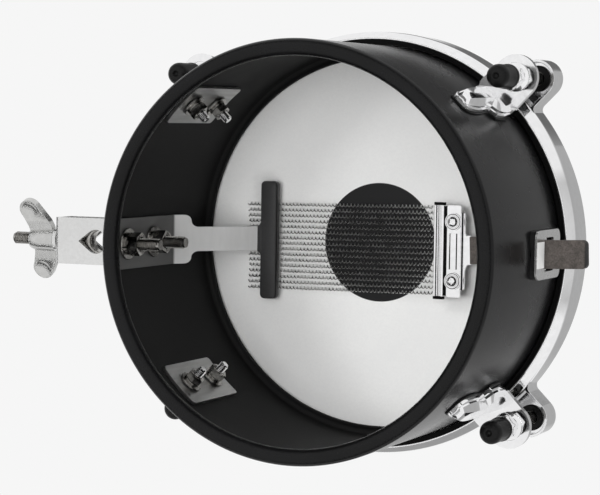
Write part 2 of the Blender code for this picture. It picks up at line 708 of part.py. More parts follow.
def make_spring_arm(parent, steel, rubber):
    points = [(ARM_WALL_X, ARM_LOW_Z), (ARM_WALL_X, ARM_CREASE_Z), ARM_TOP,
              (ARM_TIP_X, ARM_TOP[1])]
    crease = ARM_CREASE_Z - ARM_LOW_Z
    wide, narrow, soft = ARM_WIDE_HALF, ARM_NARROW_HALF, (ARM_WIDE_HALF - ARM_NARROW_HALF) / 2
    shoulder = crease + 8 * MM
    turns = [radians(90 * i / 4) for i in range(1, 5)]
    widths = [(0.0, wide), (shoulder, wide)]
    widths += [(shoulder + ARM_SHOULDER * sin(a), wide - soft * (1 - cos(a))) for a in turns]
    widths += [(shoulder + ARM_SHOULDER * (2 - cos(a)), wide - soft * (1 + sin(a))) for a in turns]
    widths.append((1.0, narrow))
    strip = ribbon(rounded_path(points, 6 * MM), widths, ARM_T)
    holes = [cross_hole(M8_HOLE_R, z, ARM_WALL_X - 4 * MM, ARM_WALL_X + 4 * MM)
             for z in ARM_BOLT_Z]
    piece("spring_arm", strip, steel, parent, cut=holes)

    bar = prism(rounded_box(PAD_X[0], PAD_Y - PAD_L / 2, PAD_X[1], PAD_Y + PAD_L / 2, 3 * MM),
                *PAD_Z)
    rims = [edge for edge in bar.edges if len({round(v.co.z, 6) for v in edge.verts}) == 1
            and edge.calc_face_angle(0) > radians(45)]
    bmesh.ops.bevel(bar, geom=rims, offset=1.2 * MM, segments=2, profile=0.5, affect="EDGES")
    mid = ARM_TOP[1]
    neck_half = ARM_NARROW_HALF + 1.6 * MM
    outline = rounded_box(PAD_X[0] - 4 * MM, -neck_half, PAD_X[0] + 2 * MM, neck_half, 1.5 * MM)
    neck = prism(outline, mid - 2.3 * MM, mid + 2.3 * MM)
    room, room_half = ARM_T / 2 + GAP, ARM_NARROW_HALF + GAP
    x0, x1 = PAD_X[0] - 9 * MM, ARM_TIP_X + GAP
    outline = [(x0, -room_half), (x1, -room_half), (x1, room_half), (x0, room_half)]
    pocket = prism(outline, mid - room, mid + room)
    piece("arm_pad", bar, rubber, parent, join=[neck], cut=[pocket])


# Snare: built along X from the tilt line, with the strands at z 0

def lever_point(x, z):
    """A point of the drum's XZ plane, with the snare down, in the snare's own frame."""
    dx, dz = x - PIVOT_X, z - PIVOT_Z
    c, s = cos(SNARE_DROP), sin(SNARE_DROP)
    return (dx * c - dz * s, dx * s + dz * c)


def lever_path():
    down = lever_point(LEVER_BEND_X, 0.0)
    bend_x = down[0] - LEVER_Z * tan(SNARE_DROP)
    bend = (bend_x * cos(SNARE_DROP), LEVER_Z)
    bend_z = PIVOT_Z - bend[0] * sin(SNARE_DROP) + LEVER_Z
    joggle = bend_z - GRIP_Z
    bend_world_x = PIVOT_X + bend[0] * cos(SNARE_DROP)
    foot = lever_point(bend_world_x + joggle, GRIP_Z)
    end = lever_point(GRIP_END_X, GRIP_Z)
    return bend, foot, end


def screw_hole(y):
    return placed(rod(CLAMP_SCREW_R + GAP, -8 * MM, 2 * MM, 12), x=CLAMP_SCREW_X, y=y)


def screw_holes():
    return [screw_hole(y) for y in (-CLAMP_SCREW_Y, CLAMP_SCREW_Y)]


def make_lever(pivot, chrome, grip):
    bend, foot, end = lever_path()
    inner_end = unit(end, foot)
    core_end = (end[0] + inner_end[0] * 3 * MM, end[1] + inner_end[1] * 3 * MM)
    path = rounded_path([(LEVER_START_X, LEVER_Z), bend, foot, core_end], 4 * MM)
    wide = LEVER_WIDE_END_X - LEVER_START_X
    tongue = bend[0] - 3.2 * MM - LEVER_START_X
    widths = [(0.0, LEVER_WIDE_HALF), (wide, LEVER_WIDE_HALF),
              (wide + 0.6 * MM, LEVER_TONGUE_HALF), (tongue, LEVER_TONGUE_HALF),
              (tongue + 0.5 * MM, LEVER_CORE_HALF), (1.0, LEVER_CORE_HALF)]
    piece("snare_lever", ribbon(path, widths, LEVER_T), chrome, pivot, cut=screw_holes())

    start = (bend[0] - 1.6 * MM, LEVER_Z)
    outer = rounded_path([start, bend, foot, end], 4 * MM)
    length = sum(hypot(b[0] - a[0], b[1] - a[1]) for a, b in zip(outer, outer[1:]))
    soft = 3 * MM
    corner = [(length - soft + soft * sin(radians(a)), SLEEVE_HALF - soft * (1 - cos(radians(a))))
              for a in (0, 30, 60, 85)]
    sleeve = ribbon(outer, [(0.0, SLEEVE_HALF)] + corner, SLEEVE_T)
    room_end = (core_end[0] - inner_end[0] * GAP, core_end[1] - inner_end[1] * GAP)
    room_start = (start[0] - 6 * MM, LEVER_Z)
    room = rounded_path([room_start, bend, foot, room_end], 4 * MM)
    core_room = ribbon(room, [(0.0, LEVER_CORE_HALF + GAP), (1.0, LEVER_CORE_HALF + GAP)],
                       LEVER_T + 2 * GAP)
    piece("grip_sleeve", sleeve, grip, pivot, cut=[core_room])


def make_wires(pivot, wire, chrome, steel):
    x0, x1 = END_PLATE_X
    ridged = [(x0, -0.7 * MM), (x1, -0.7 * MM), (x1, -3.0 * MM), (x1 - 0.6 * MM, -3.4 * MM),
              (x1 - 1.8 * MM, -3.4 * MM), (x1 - 2.5 * MM, -2.6 * MM), (x0 + 2.5 * MM, -2.6 * MM),
              (x0 + 1.8 * MM, -3.4 * MM), (x0 + 0.6 * MM, -3.4 * MM), (x0, -3.0 * MM)]
    half = END_PLATE_L / 2
    end_plate = along_y(prism(ridged, -half, half))
    half = CLAMP_PLATE_L / 2
    tail = along_y(prism([(x1 - 1 * MM, -2.6 * MM), (TAIL_X, -2.6 * MM), (TAIL_X, -1.8 * MM),
                          (x1 - 1 * MM, -1.8 * MM)], -half, half))
    strands = bmesh.new()
    for i in range(STRANDS):
        strand = along_x(rod(STRAND_R, *STRAND_X, 6))
        placed(strand, y=(i - (STRANDS - 1) / 2) * STRAND_PITCH)
        mesh = bpy.data.meshes.new("strand")
        strand.to_mesh(mesh)
        strands.from_mesh(mesh)
        strand.free()
        bpy.data.meshes.remove(mesh)
    piece("snare_wires", end_plate, wire, pivot, join=[tail, strands], cut=screw_holes())

    outline = rounded_box(CLAMP_PLATE_X[0], -half, CLAMP_PLATE_X[1], half, 1 * MM, 2)
    holes = [circle(CLAMP_SCREW_X, y, CLAMP_SCREW_R + GAP, 12)
             for y in (-CLAMP_SCREW_Y, CLAMP_SCREW_Y)]
    plate = prism(outline, -4.4 * MM, -2.9 * MM, holes=holes)
    piece("clamp_plate", plate, chrome, pivot)

    head = [(0.0, -7.2 * MM), (2.6 * MM, -6.9 * MM), (4.4 * MM, -5.4 * MM), (5.6 * MM, -5.3 * MM),
            (5.6 * MM, -4.7 * MM), (CLAMP_SCREW_R, -4.7 * MM), (CLAMP_SCREW_R, -0.1 * MM),
            (0.0, -0.1 * MM)]
    solid = turned(head, SMALL_STEPS)
    place = (CLAMP_SCREW_X, -CLAMP_SCREW_Y, 0)
    screw = piece("clamp_screw_1", solid, steel, pivot, place)
    copy_of(screw, "clamp_screw_2", (CLAMP_SCREW_X, CLAMP_SCREW_Y, 0), (0, 0, 0))


# Guide plate on its pad, round the lever's slot

def make_guide(parent, chrome, rubber):
    outline = rounded_box(-GUIDE_HALF, GUIDE_Z[0], GUIDE_HALF, GUIDE_Z[1],
                          GUIDE_CORNER)
    low, high = GUIDE_SLOT_Z
    slot = rounded_box(-GUIDE_SLOT_HALF, low, GUIDE_SLOT_HALF, high, 1.5 * MM)
    plate = along_x(prism(outline, *GUIDE_X, holes=[slot]))
    piece("guide_plate", plate, chrome, parent)
    block = along_x(prism(outline, 126 * MM, GUIDE_X[0] - GAP, holes=[slot]))
    drum_round = rod(SHELL_R + GAP, 60 * MM, 124 * MM, ROUND_STEPS)
    piece("guide_pad", block, rubber, parent, cut=[drum_round])


def build():
    clear_scene()
    black_paint = finish_material("black_paint", (0.012, 0.012, 0.013), 0.0, 0.38)
    white_film = finish_material("white_film", (0.78, 0.78, 0.77), 0.0, 0.45)
    black_steel = finish_material("black_steel", (0.02, 0.02, 0.02), 0.6, 0.5)
    chrome = finish_material("chrome", (0.80, 0.80, 0.81), 1.0, 0.08)
    dull_steel = finish_material("dull_steel", (0.42, 0.42, 0.41), 1.0, 0.34)
    bolt_steel = finish_material("bolt_steel", (0.30, 0.29, 0.27), 1.0, 0.36)
    rubber = finish_material("black_rubber", (0.015, 0.015, 0.015), 0.0, 0.6)
    grip = finish_material("grip_sleeve", (0.105, 0.090, 0.082), 0.0, 0.5)
    wire = finish_material("snare_wire", (0.62, 0.62, 0.62), 1.0, 0.22)

    drum = empty("drum", place=(DRUM_X, 0, 0))
    hoop_axis = empty("hoop_axis", drum)
    eye_mid = sum(CLAMP_FLANGE_Z) / 2
    eye_slide = empty("eye_slide", drum, place=(EYE_X, 0, eye_mid))
    pivot_y = (SHELL_R - PIVOT_X) * tan(SNARE_SKEW)
    pivot = empty("snare_pivot", drum, place=(PIVOT_X, pivot_y, PIVOT_Z),
                  turn=(0, SNARE_DROP, -SNARE_SKEW))

    make_shell(drum, black_paint)
    make_head(drum, white_film, black_steel)
    make_counter_hoop(hoop_axis, chrome)
    make_tension_set(hoop_axis, drum, bolt_steel, rubber)
    make_lugs(drum, chrome, rubber, dull_steel)
    make_lug_nuts(drum, bolt_steel)
    make_rod_clamp(drum, chrome)
    make_eye_bolt(drum, eye_slide, bolt_steel, chrome)
    make_arm_bolts(drum, bolt_steel)
    make_spring_arm(drum, dull_steel, rubber)
    make_lever(pivot, chrome, grip)
    make_wires(pivot, wire, chrome, chrome)
    make_guide(drum, chrome, rubber)


build()
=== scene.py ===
"""Snare timbale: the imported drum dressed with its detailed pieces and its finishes."""
import bmesh
import bpy
from math import acos, cos, degrees, hypot, pi, radians, sin, sqrt, tan
from mathutils import Matrix, Vector


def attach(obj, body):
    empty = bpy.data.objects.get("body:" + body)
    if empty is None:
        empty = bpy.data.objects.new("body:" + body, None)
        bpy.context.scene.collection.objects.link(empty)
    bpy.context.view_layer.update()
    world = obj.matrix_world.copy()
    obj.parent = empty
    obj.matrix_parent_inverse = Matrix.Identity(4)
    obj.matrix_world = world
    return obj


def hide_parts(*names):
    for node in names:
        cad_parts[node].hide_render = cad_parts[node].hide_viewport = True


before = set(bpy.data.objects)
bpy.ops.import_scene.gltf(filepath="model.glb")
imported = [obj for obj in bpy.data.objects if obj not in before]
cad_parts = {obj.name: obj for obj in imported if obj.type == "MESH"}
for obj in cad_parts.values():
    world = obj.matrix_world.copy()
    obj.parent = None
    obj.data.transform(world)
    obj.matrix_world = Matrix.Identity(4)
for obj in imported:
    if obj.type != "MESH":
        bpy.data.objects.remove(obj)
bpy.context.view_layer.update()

# Shell: a spun steel tube, 256 mm across, with a bead rolled inwards at the open rim and a rolled
# bearing edge under the head. It is powder coated satin black inside and out, and its only opening
# here is the slot for the snare lever. On the inner wall above the bead the black is paler and
# duller, and its paler colour is painted light. Shapes are in millimetres, about the drum's own axis.

MM = 0.001
DRUM = Matrix.Translation((0.0285, 0, 0))
ROUND = 192
SHELL_R = 128.0
SHELL_WALL = 1.2


def arc(x, y, radius, start, end, steps):
    turns = [radians(start + (end - start) * i / steps) for i in range(steps + 1)]
    return [(x + radius * cos(a), y + radius * sin(a)) for a in turns]


def spun(profile, steps=ROUND):
    """A profile of (radius, z) spun once round Z; it may start and end on the axis."""
    bm = bmesh.new()
    verts = [bm.verts.new((r, 0, z)) for r, z in profile]
    edges = [bm.edges.new(pair) for pair in zip(verts, verts[1:])]
    if profile[0][0] > 0:
        edges.append(bm.edges.new((verts[-1], verts[0])))
    bmesh.ops.spin(bm, geom=verts + edges, cent=(0, 0, 0), axis=(0, 0, 1), angle=2 * pi,
                   steps=steps, use_merge=True)
    bmesh.ops.remove_doubles(bm, verts=bm.verts, dist=1e-4)
    bmesh.ops.recalc_face_normals(bm, faces=bm.faces)
    return bm


def grain_group():
    """Fine grain, and broad smudges that change the shine and the tone a little."""
    group = bpy.data.node_groups.new("grain_and_smudges", "ShaderNodeTree")
    face = group.interface
    for name, kind, value in (
            ("Light", "NodeSocketColor", (0.8, 0.8, 0.8, 1)), ("Dark", "NodeSocketColor", (0.6, 0.6, 0.6, 1)),
            ("Stretch", "NodeSocketVector", (1, 1, 1)), ("Grain", "NodeSocketFloat", 900.0),
            ("Smudge", "NodeSocketFloat", 30.0), ("Shiny", "NodeSocketFloat", 0.2),
            ("Dull", "NodeSocketFloat", 0.4)):
        face.new_socket(name, in_out="INPUT", socket_type=kind).default_value = value
    for name, kind in (("Colour", "NodeSocketColor"), ("Roughness", "NodeSocketFloat"),
                       ("Height", "NodeSocketFloat")):
        face.new_socket(name, in_out="OUTPUT", socket_type=kind)
    nodes, link = group.nodes, group.links.new
    given, out = nodes.new("NodeGroupInput"), nodes.new("NodeGroupOutput")
    place = nodes.new("ShaderNodeTexCoord")
    stretch = nodes.new("ShaderNodeVectorMath")
    stretch.operation = "MULTIPLY"
    link(place.outputs["Object"], stretch.inputs[0])
    link(given.outputs["Stretch"], stretch.inputs[1])
    grain = nodes.new("ShaderNodeTexNoise")
    grain.inputs["Detail"].default_value = 4
    link(stretch.outputs[0], grain.inputs["Vector"])
    link(given.outputs["Grain"], grain.inputs["Scale"])
    smudge = nodes.new("ShaderNodeTexNoise")
    smudge.inputs["Detail"].default_value = 6
    smudge.inputs["Distortion"].default_value = 0.6
    link(place.outputs["Object"], smudge.inputs["Vector"])
    link(given.outputs["Smudge"], smudge.inputs["Scale"])
    shine = nodes.new("ShaderNodeMapRange")
    shine.inputs["From Min"].default_value = 0.32
    shine.inputs["From Max"].default_value = 0.68
    link(smudge.outputs["Fac"], shine.inputs["Value"])
    link(given.outputs["Shiny"], shine.inputs["To Min"])
    link(given.outputs["Dull"], shine.inputs["To Max"])
    both = nodes.new("ShaderNodeMath")
    both.operation = "MULTIPLY"
    link(grain.outputs["Fac"], both.inputs[0])
    link(smudge.outputs["Fac"], both.inputs[1])
    spread = nodes.new("ShaderNodeMapRange")
    spread.inputs["From Min"].default_value = 0.12
    spread.inputs["From Max"].default_value = 0.38
    link(both.outputs[0], spread.inputs["Value"])
    tone = nodes.new("ShaderNodeMix")
    tone.data_type = "RGBA"
    link(spread.outputs["Result"], tone.inputs["Factor"])
    link(given.outputs["Dark"], tone.inputs["A"])
    link(given.outputs["Light"], tone.inputs["B"])
    link(tone.outputs["Result"], out.inputs["Colour"])
    link(shine.outputs["Result"], out.inputs["Roughness"])
    link(grain.outputs["Fac"], out.inputs["Height"])
    return group


GRAIN = grain_group()


def surface(name, light, dark, metallic, shiny, dull, grain, smudge, bump, stretch=(1, 1, 1),
            gloss=0.5):
    """A finish from the grain group; grain and smudge are patterns per metre, bump is in mm."""
    material = bpy.data.materials.new(name)
    material.use_nodes = True
    nodes, link = material.node_tree.nodes, material.node_tree.links.new
    shader = nodes["Principled BSDF"]
    shader.inputs["Metallic"].default_value = metallic
    shader.inputs["Specular IOR Level"].default_value = gloss
    group = nodes.new("ShaderNodeGroup")
    group.name = "grain"
    group.node_tree = GRAIN
    given = group.inputs
    given["Light"].default_value, given["Dark"].default_value = (*light, 1), (*dark, 1)
    given["Stretch"].default_value = stretch
    given["Grain"].default_value, given["Smudge"].default_value = grain, smudge
    given["Shiny"].default_value, given["Dull"].default_value = shiny, dull
    relief = nodes.new("ShaderNodeBump")
    relief.inputs["Strength"].default_value = 1.0
    relief.inputs["Distance"].default_value = bump * MM
    link(group.outputs["Colour"], shader.inputs["Base Color"])
    link(group.outputs["Roughness"], shader.inputs["Roughness"])
    link(group.outputs["Height"], relief.inputs["Height"])
    link(relief.outputs["Normal"], shader.inputs["Normal"])
    return material


def piece(name, bm, material, body, replaced=(), place=DRUM, bevel=0.0, divide=0, sharp=35):
    """A finished piece: put in place, given its material, and set on its body."""
    bmesh.ops.transform(bm, matrix=place @ Matrix.Scale(MM, 4), verts=bm.verts)
    mesh = bpy.data.meshes.new(name)
    bm.to_mesh(mesh)
    bm.free()
    mesh.materials.append(material)
    mesh.shade_smooth()
    mesh.set_sharp_from_angle(angle=radians(sharp))
    obj = bpy.data.objects.new(name, mesh)
    bpy.context.scene.collection.objects.link(obj)
    if bevel:
        rounding = obj.modifiers.new("edges", "BEVEL")
        rounding.width, rounding.segments = bevel * MM, 2
        rounding.limit_method, rounding.angle_limit = "ANGLE", radians(sharp)
        rounding.harden_normals = True
    if divide:
        rounding = obj.modifiers.new("smooth", "SUBSURF")
        rounding.levels = rounding.render_levels = divide
    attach(obj, body)
    if replaced:
        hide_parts(*replaced)
    return obj


def shell_line(inset):
    edge = arc(SHELL_R - 3.8, 140.7, 3.8 - inset, 200, 0, 12)
    return edge + arc(SHELL_R - 5.2, 5.2, 5.2 - inset, 0, -285, 28)


def open_slot(bm, half, low, high):
    """Cut an upright slot through both skins of the wall at +X, and join the skins round it."""
    zone = [face for face in bm.faces
            if face.calc_center_median().x > 120 and abs(face.calc_center_median().y) < 18]
    for point, normal in (((0, half, 0), (0, 1, 0)), ((0, -half, 0), (0, 1, 0)),
                          ((0, 0, low), (0, 0, 1)), ((0, 0, high), (0, 0, 1))):
        edges = {edge for face in zone for edge in face.edges}
        verts = {vert for face in zone for vert in face.verts}
        cut = bmesh.ops.bisect_plane(bm, geom=zone + list(edges) + list(verts),
                                     plane_co=point, plane_no=normal, dist=1e-5)
        zone = [item for item in cut["geom"] if isinstance(item, bmesh.types.BMFace)]
    inside = [face for face in zone if abs(face.calc_center_median().y) < half
              and low < face.calc_center_median().z < high]
    bmesh.ops.delete(bm, geom=inside, context="FACES")
    rims = [edge for edge in bm.edges if edge.is_boundary]
    bmesh.ops.bridge_loops(bm, edges=rims)


def ramp(material, low, high, axis="Z"):
    """0 at one height and 1 at another, in mm; "R" is the distance from the drum's axis instead."""
    nodes, link = material.node_tree.nodes, material.node_tree.links.new
    place = nodes.new("ShaderNodeTexCoord")
    slope = nodes.new("ShaderNodeMapRange")
    slope.inputs["From Min"].default_value, slope.inputs["From Max"].default_value = low * MM, high * MM
    if axis == "R":
        centred, reach = nodes.new("ShaderNodeMapping"), nodes.new("ShaderNodeVectorMath")
        centred.inputs["Location"].default_value = -DRUM.translation
        centred.inputs["Scale"].default_value = (1, 1, 0)
        reach.operation = "LENGTH"
        link(place.outputs["Object"], centred.inputs["Vector"])
        link(centred.outputs["Vector"], reach.inputs[0])
        link(reach.outputs["Value"], slope.inputs["Value"])
    else:
        split = nodes.new("ShaderNodeSeparateXYZ")
        link(place.outputs["Object"], split.inputs[0])
        link(split.outputs[axis], slope.inputs["Value"])
    return slope.outputs["Result"]


def tinted(material, mask, colour):
    """Lay another colour over a finish where the mask is 1."""
    nodes, link = material.node_tree.nodes, material.node_tree.links.new
    mix = nodes.new("ShaderNodeMix")
    mix.data_type = "RGBA"
    mix.inputs["B"].default_value = (*colour, 1)
    link(mask, mix.inputs["Factor"])
    link(nodes["grain"].outputs["Colour"], mix.inputs["A"])
    link(mix.outputs["Result"], nodes["Principled BSDF"].inputs["Base Color"])


powder_black = surface("powder_coat_black", (0.0055, 0.0055, 0.006), (0.0035, 0.0035, 0.0035), 0.0,
                       0.22, 0.30, 1500, 14, 0.02, gloss=0.16)
# A paler, duller copy of the black for the inside: its paler colour is painted light, standing in for light
# inside the drum.
inner_black_painted_light = surface("powder_black_inside_painted_light", (0.020, 0.020, 0.020), (0.015, 0.015, 0.015), 0.0,
                     0.45, 0.55, 1500, 14, 0.02, gloss=0.03)
wall = spun(shell_line(0) + shell_line(SHELL_WALL)[::-1])
open_slot(wall, 11.0, 83.0, 106.0)
shell = piece("steel_shell", wall, powder_black, "drum", ["shell"])
# The inner wall above the bead takes the paler black as painted light.
shell.data.materials.append(inner_black_painted_light)
for face in shell.data.polygons:
    middle = face.center - DRUM.translation
    if middle.xy.length < (SHELL_R - 0.5) * MM and middle.z > 10.4 * MM:
        face.material_index = 1


# Head: a white polyester film over the bearing edge, with a plain black disc printed in its middle.
# Its collar is held in the channel of a pressed-steel flesh hoop, which the counter hoop
# bears on. The flesh hoop's near-black colour is painted shade for the dark gap under the counter hoop.

FILM_T = 0.4
FILM_Z = 144.9
DISC_R = 38.9


def film_line(lift):
    roll = arc(SHELL_R - 3.8, 140.7, 4.2 + lift, 90, 0, 8)
    r = SHELL_R + 0.4 + lift
    return [(0, FILM_Z + lift)] + roll + [(r + 1.2, 132.6), (r + 1.2, 129.0)]


printed_film = surface("printed_film", (0.83, 0.83, 0.82), (0.79, 0.79, 0.785), 0.0,
                       0.34, 0.42, 700, 22, 0.01, gloss=0.22)
tinted(printed_film, ramp(printed_film, DISC_R + 0.15, DISC_R - 0.15, "R"), (0.009, 0.009, 0.0095))
piece("drum_head", spun(film_line(0) + film_line(FILM_T)[::-1]), printed_film, "drum",
      ["head_film"])

# Near-black steel: on the flesh hoop it is painted shade for the dark gap under the counter hoop.
near_black = surface("near_black_steel", (0.004, 0.004, 0.004), (0.002, 0.002, 0.002), 0.0,
                        0.35, 0.5, 1200, 40, 0.02, gloss=0.06)
channel = [(128.8, 125.9), (131.9, 125.9), (132.1, 126.1), (132.1, 126.9), (131.9, 127.0),
           (130.8, 127.3), (130.4, 132.0), (130.3, 132.0), (130.3, 128.7), (129.3, 128.7),
           (129.3, 131.0), (128.9, 131.0)]
piece("pressed_flesh_hoop", spun(channel), near_black, "drum", ["flesh_hoop"])


# Counter hoop: a chromed steel band whose lower edge leans in to bear on the flesh hoop. Four ears
# are wrapped out of the band round the tension bolts, each with a web that the bolt's head pulls on.

CORNERS = (-45, 45, 135, -135)
BOLT_R = 152.0
HOOP_R = 137.15
HOOP_WALL = 1.7
EAR_R = 12.0
WEB_Z = (141.5, 143.5)


def at_corner(angle):
    return DRUM @ Matrix.Rotation(radians(angle), 4, "Z")


def both_sides(points):
    """A half outline and its mirror image in y, in one run."""
    return points + [(x, -y) for x, y in reversed(points)]


def plate(outline, low, high, holes=()):
    """A flat piece with holes, filled between its outlines and extruded up."""
    bm = bmesh.new()
    edges = []
    for loop in (outline, *holes):
        verts = [bm.verts.new((x, y, low)) for x, y in loop]
        edges += [bm.edges.new(pair) for pair in zip(verts, verts[1:] + verts[:1])]
    bmesh.ops.triangle_fill(bm, edges=edges, use_beauty=True)
    raised = bmesh.ops.extrude_face_region(bm, geom=bm.faces[:])["geom"]
    tops = [item for item in raised if isinstance(item, bmesh.types.BMVert)]
    bmesh.ops.translate(bm, verts=tops, vec=(0, 0, high - low))
    bmesh.ops.recalc_face_normals(bm, faces=bm.faces)
    return bm


def circle(x, y, radius, steps=24):
    return arc(x, y, radius, 0, 360, steps)[:-1]


def joined(*parts):
    """Several closed solids in one mesh."""
    whole = bmesh.new()
    for bm in parts:
        mesh = bpy.data.meshes.new("part")
        bm.to_mesh(mesh)
        whole.from_mesh(mesh)
        bm.free()
        bpy.data.meshes.remove(mesh)
    return whole


def turned_to(bm, matrix):
    bmesh.ops.transform(bm, matrix=matrix, verts=bm.verts)
    return bm


def wrapped_ear(angle):
    fillet_y = EAR_R + 4.2
    fillet_x = sqrt((HOOP_R + 4.2) ** 2 - fillet_y ** 2) - 0.15
    outer = [(135.9, 14.7)] + arc(fillet_x, fillet_y, 4.2, 195, 270, 6)
    outer += arc(BOLT_R, 0, EAR_R, 90, 4, 12)
    inner = EAR_R - HOOP_WALL
    pocket = [(HOOP_R + 0.45, inner)] + arc(BOLT_R, 0, inner, 90, 4, 12)
    room = [(HOOP_R - 0.4, inner + 0.4)] + arc(BOLT_R, 0, inner + 0.4, 90, 4, 12)
    wall = plate(both_sides(outer), 136.4, 155.1, [both_sides(pocket)])
    web = plate(both_sides(room), *WEB_Z, [circle(BOLT_R, 0, 4.4)])
    return turned_to(joined(wall, web), Matrix.Rotation(radians(angle), 4, "Z"))


chrome = surface("chrome_plate", (0.93, 0.93, 0.935), (0.86, 0.86, 0.865), 1.0, 0.05, 0.13, 260, 18, 0.006)
band = [(132.95, 126.9), (133.15, 127.33), (136.25, 134.07), (136.45, 134.5), (136.9, 135.6),
        (137.15, 137.2), (137.15, 137.7), (137.15, 154.6), (137.15, 155.0),
        (136.95, 155.35), (136.6, 155.5), (136.0, 155.5), (135.65, 155.35), (135.45, 155.0),
        (135.45, 136.9), (135.15, 135.6), (131.6, 127.9), (131.41, 127.3), (131.7, 126.95),
        (132.3, 126.75)]
ears = [wrapped_ear(angle) for angle in CORNERS]
piece("chromed_counter_hoop", joined(spun(band), *ears), chrome, "hoop", ["counter_hoop"],
      bevel=0.4)


# Tension bolts: M8 steel bolts with a washer under a hexagon head inside each ear, threaded below.
# A flanged nut under the lug's eye draws each one down, and a black rubber cap covers its end.

M8 = 4.0
M8_PITCH = 1.25


def hex_bar(flats, low, high, hole=0.0, chamfers=(True, True)):
    """A hexagon nut or head with its corners turned off at the ends."""
    count = 36
    turns = [2 * pi * i / count for i in range(count)]
    reach = [flats / 2 / cos((a % (pi / 3)) - pi / 6) for a in turns]
    face_r = flats / 2 - 0.2

    def ring(radii, heights):
        return [(r * cos(a), r * sin(a), z) for r, a, z in zip(radii, turns, heights)]

    drop = [(r - face_r) * 0.55 for r in reach]
    rings = [ring([face_r] * count, [low] * count)]
    rings.append(ring(reach, [low + (d if chamfers[0] else 0) for d in drop]))
    rings.append(ring(reach, [high - (d if chamfers[1] else 0) for d in drop]))
    rings.append(ring([face_r] * count, [high] * count))
    if hole:
        rings.append(ring([hole + 0.4] * count, [high] * count))
        rings.append(ring([hole] * count, [high - 0.4] * count))
        rings.append(ring([hole] * count, [low] * count))
    return skinned(rings, endless=bool(hole))


def skinned(rings, endless=False):
    """A skin over rings of equal count, closed by flat ends or by its own first ring."""
    bm = bmesh.new()
    loops = []
    for ring in rings:
        verts = [bm.verts.new(point) for point in ring]
        loops.append([bm.edges.new(pair) for pair in zip(verts, verts[1:] + verts[:1])])
    for low, high in zip(loops, loops[1:] + (loops[:1] if endless else [])):
        bmesh.ops.bridge_loops(bm, edges=low + high)
    if not endless:
        for loop in (loops[0], loops[-1]):
            bmesh.ops.contextual_create(bm, geom=loop)
    bmesh.ops.recalc_face_normals(bm, faces=bm.faces)
    return bm


def threaded(radius, pitch, low, high, steps=14):
    """A threaded bar along Z: a V swept up a helix round a core, with the core's lower end chamfered."""
    root = radius - 0.6 * pitch
    core = spun([(0, low), (root - 0.3, low), (root, low + 0.3), (root, high), (0, high)], 20)
    bm = bmesh.new()
    turns = int((high - low - 0.4) / pitch) - 1
    start = low + 0.2
    verts = [bm.verts.new(point) for point in
             ((root - 0.05, 0, start), (radius, 0, start + pitch * 0.45),
              (radius, 0, start + pitch * 0.55), (root - 0.05, 0, start + pitch))]
    edges = [bm.edges.new(pair) for pair in zip(verts, verts[1:] + verts[:1])]
    bmesh.ops.contextual_create(bm, geom=edges)
    bmesh.ops.spin(bm, geom=verts + edges, cent=(0, 0, 0), axis=(0, 0, 1), angle=2 * pi * turns,
                   steps=steps * turns, dvec=(0, 0, pitch / steps))
    bmesh.ops.holes_fill(bm, edges=[edge for edge in bm.edges if edge.is_boundary])
    bmesh.ops.recalc_face_normals(bm, faces=bm.faces)
    return joined(core, bm)


nickel = surface("dark_nickel_plate", (0.46, 0.45, 0.43), (0.24, 0.232, 0.22), 1.0, 0.14, 0.30, 500, 90,
                 0.01)
soft_black = surface("black_rubber", (0.007, 0.007, 0.007), (0.004, 0.004, 0.004), 0.0, 0.30, 0.45, 900,
                     60, 0.02, gloss=0.16)
cap_line = [(0, 61.1), (0.9, 61), (1.6, 60.2), (2.1, 59.6), (2.9, 59.5), (4.4, 60), (5.7, 60.9),
            (6.6, 62.1), (7.1, 63.7), (7.2, 65.5), (7.2, 78.9), (7.4, 79.7), (7.65, 80.2), (7.65, 81.9),
            (7.4, 82.4), (7.0, 82.5), (4.4, 82.5), (4.3, 82.1), (4.3, 65.2), (0, 65.2)]
for i, angle in enumerate(CORNERS, start=1):
    spot = at_corner(angle) @ Matrix.Translation((BOLT_R * MM, 0, 0))
    washer = spun([(0, 143.8), (8.1, 143.8), (8.4, 144.1), (8.4, 145.1), (8.1, 145.4), (0, 145.4)], 48)
    shank = spun([(0, 110), (3.9, 110), (M8, 111), (M8, 144), (0, 144)], 32)
    bolt = joined(hex_bar(13, 145.4, 150.8, chamfers=(False, True)), washer, shank,
                  threaded(M8, M8_PITCH, 68, 112))
    piece(f"tension_screw_{i}", bolt, nickel, "hoop", [f"tension_bolt_{i}"], spot)
    flange = spun([(4.3, 94.1), (8.2, 94.1), (9, 94.6), (9, 95.4), (8.7, 95.7), (4.3, 95.7)], 48)
    nut = joined(hex_bar(13, 84.6, 94.4, 4.3, (True, False)), flange)
    piece(f"flange_nut_{i}", nut, chrome, f"tension_nut_{i}", [f"tension_nut_{i}"], spot)
    # A black washer under each web, guessed from a ring seen in the ear, also darkens the ear's pocket as
    # painted shade.
    under_web = spun([(4.4, 139.9), (8.0, 139.9), (8.3, 140.2), (8.3, 141.4), (4.4, 141.4)], 40)
    piece(f"ear_washer_{i}", under_web, soft_black, "hoop", (), spot)
    piece(f"rubber_cap_{i}", spun(cap_line, 40), soft_black, "hoop", [f"thread_cap_{i}"],
          spot)


# Lugs: zinc castings, chromed, each with a foot that swells from a slotted nose to an eye plate
# square to the shell. A black gasket lies under each foot, and two cast-in studs pass through the
# shell to plain steel backing plates with nuts on washers.

LUG_BASE = 129.2
M6 = 3.0
STUD_Z = (46.5, 77.5)


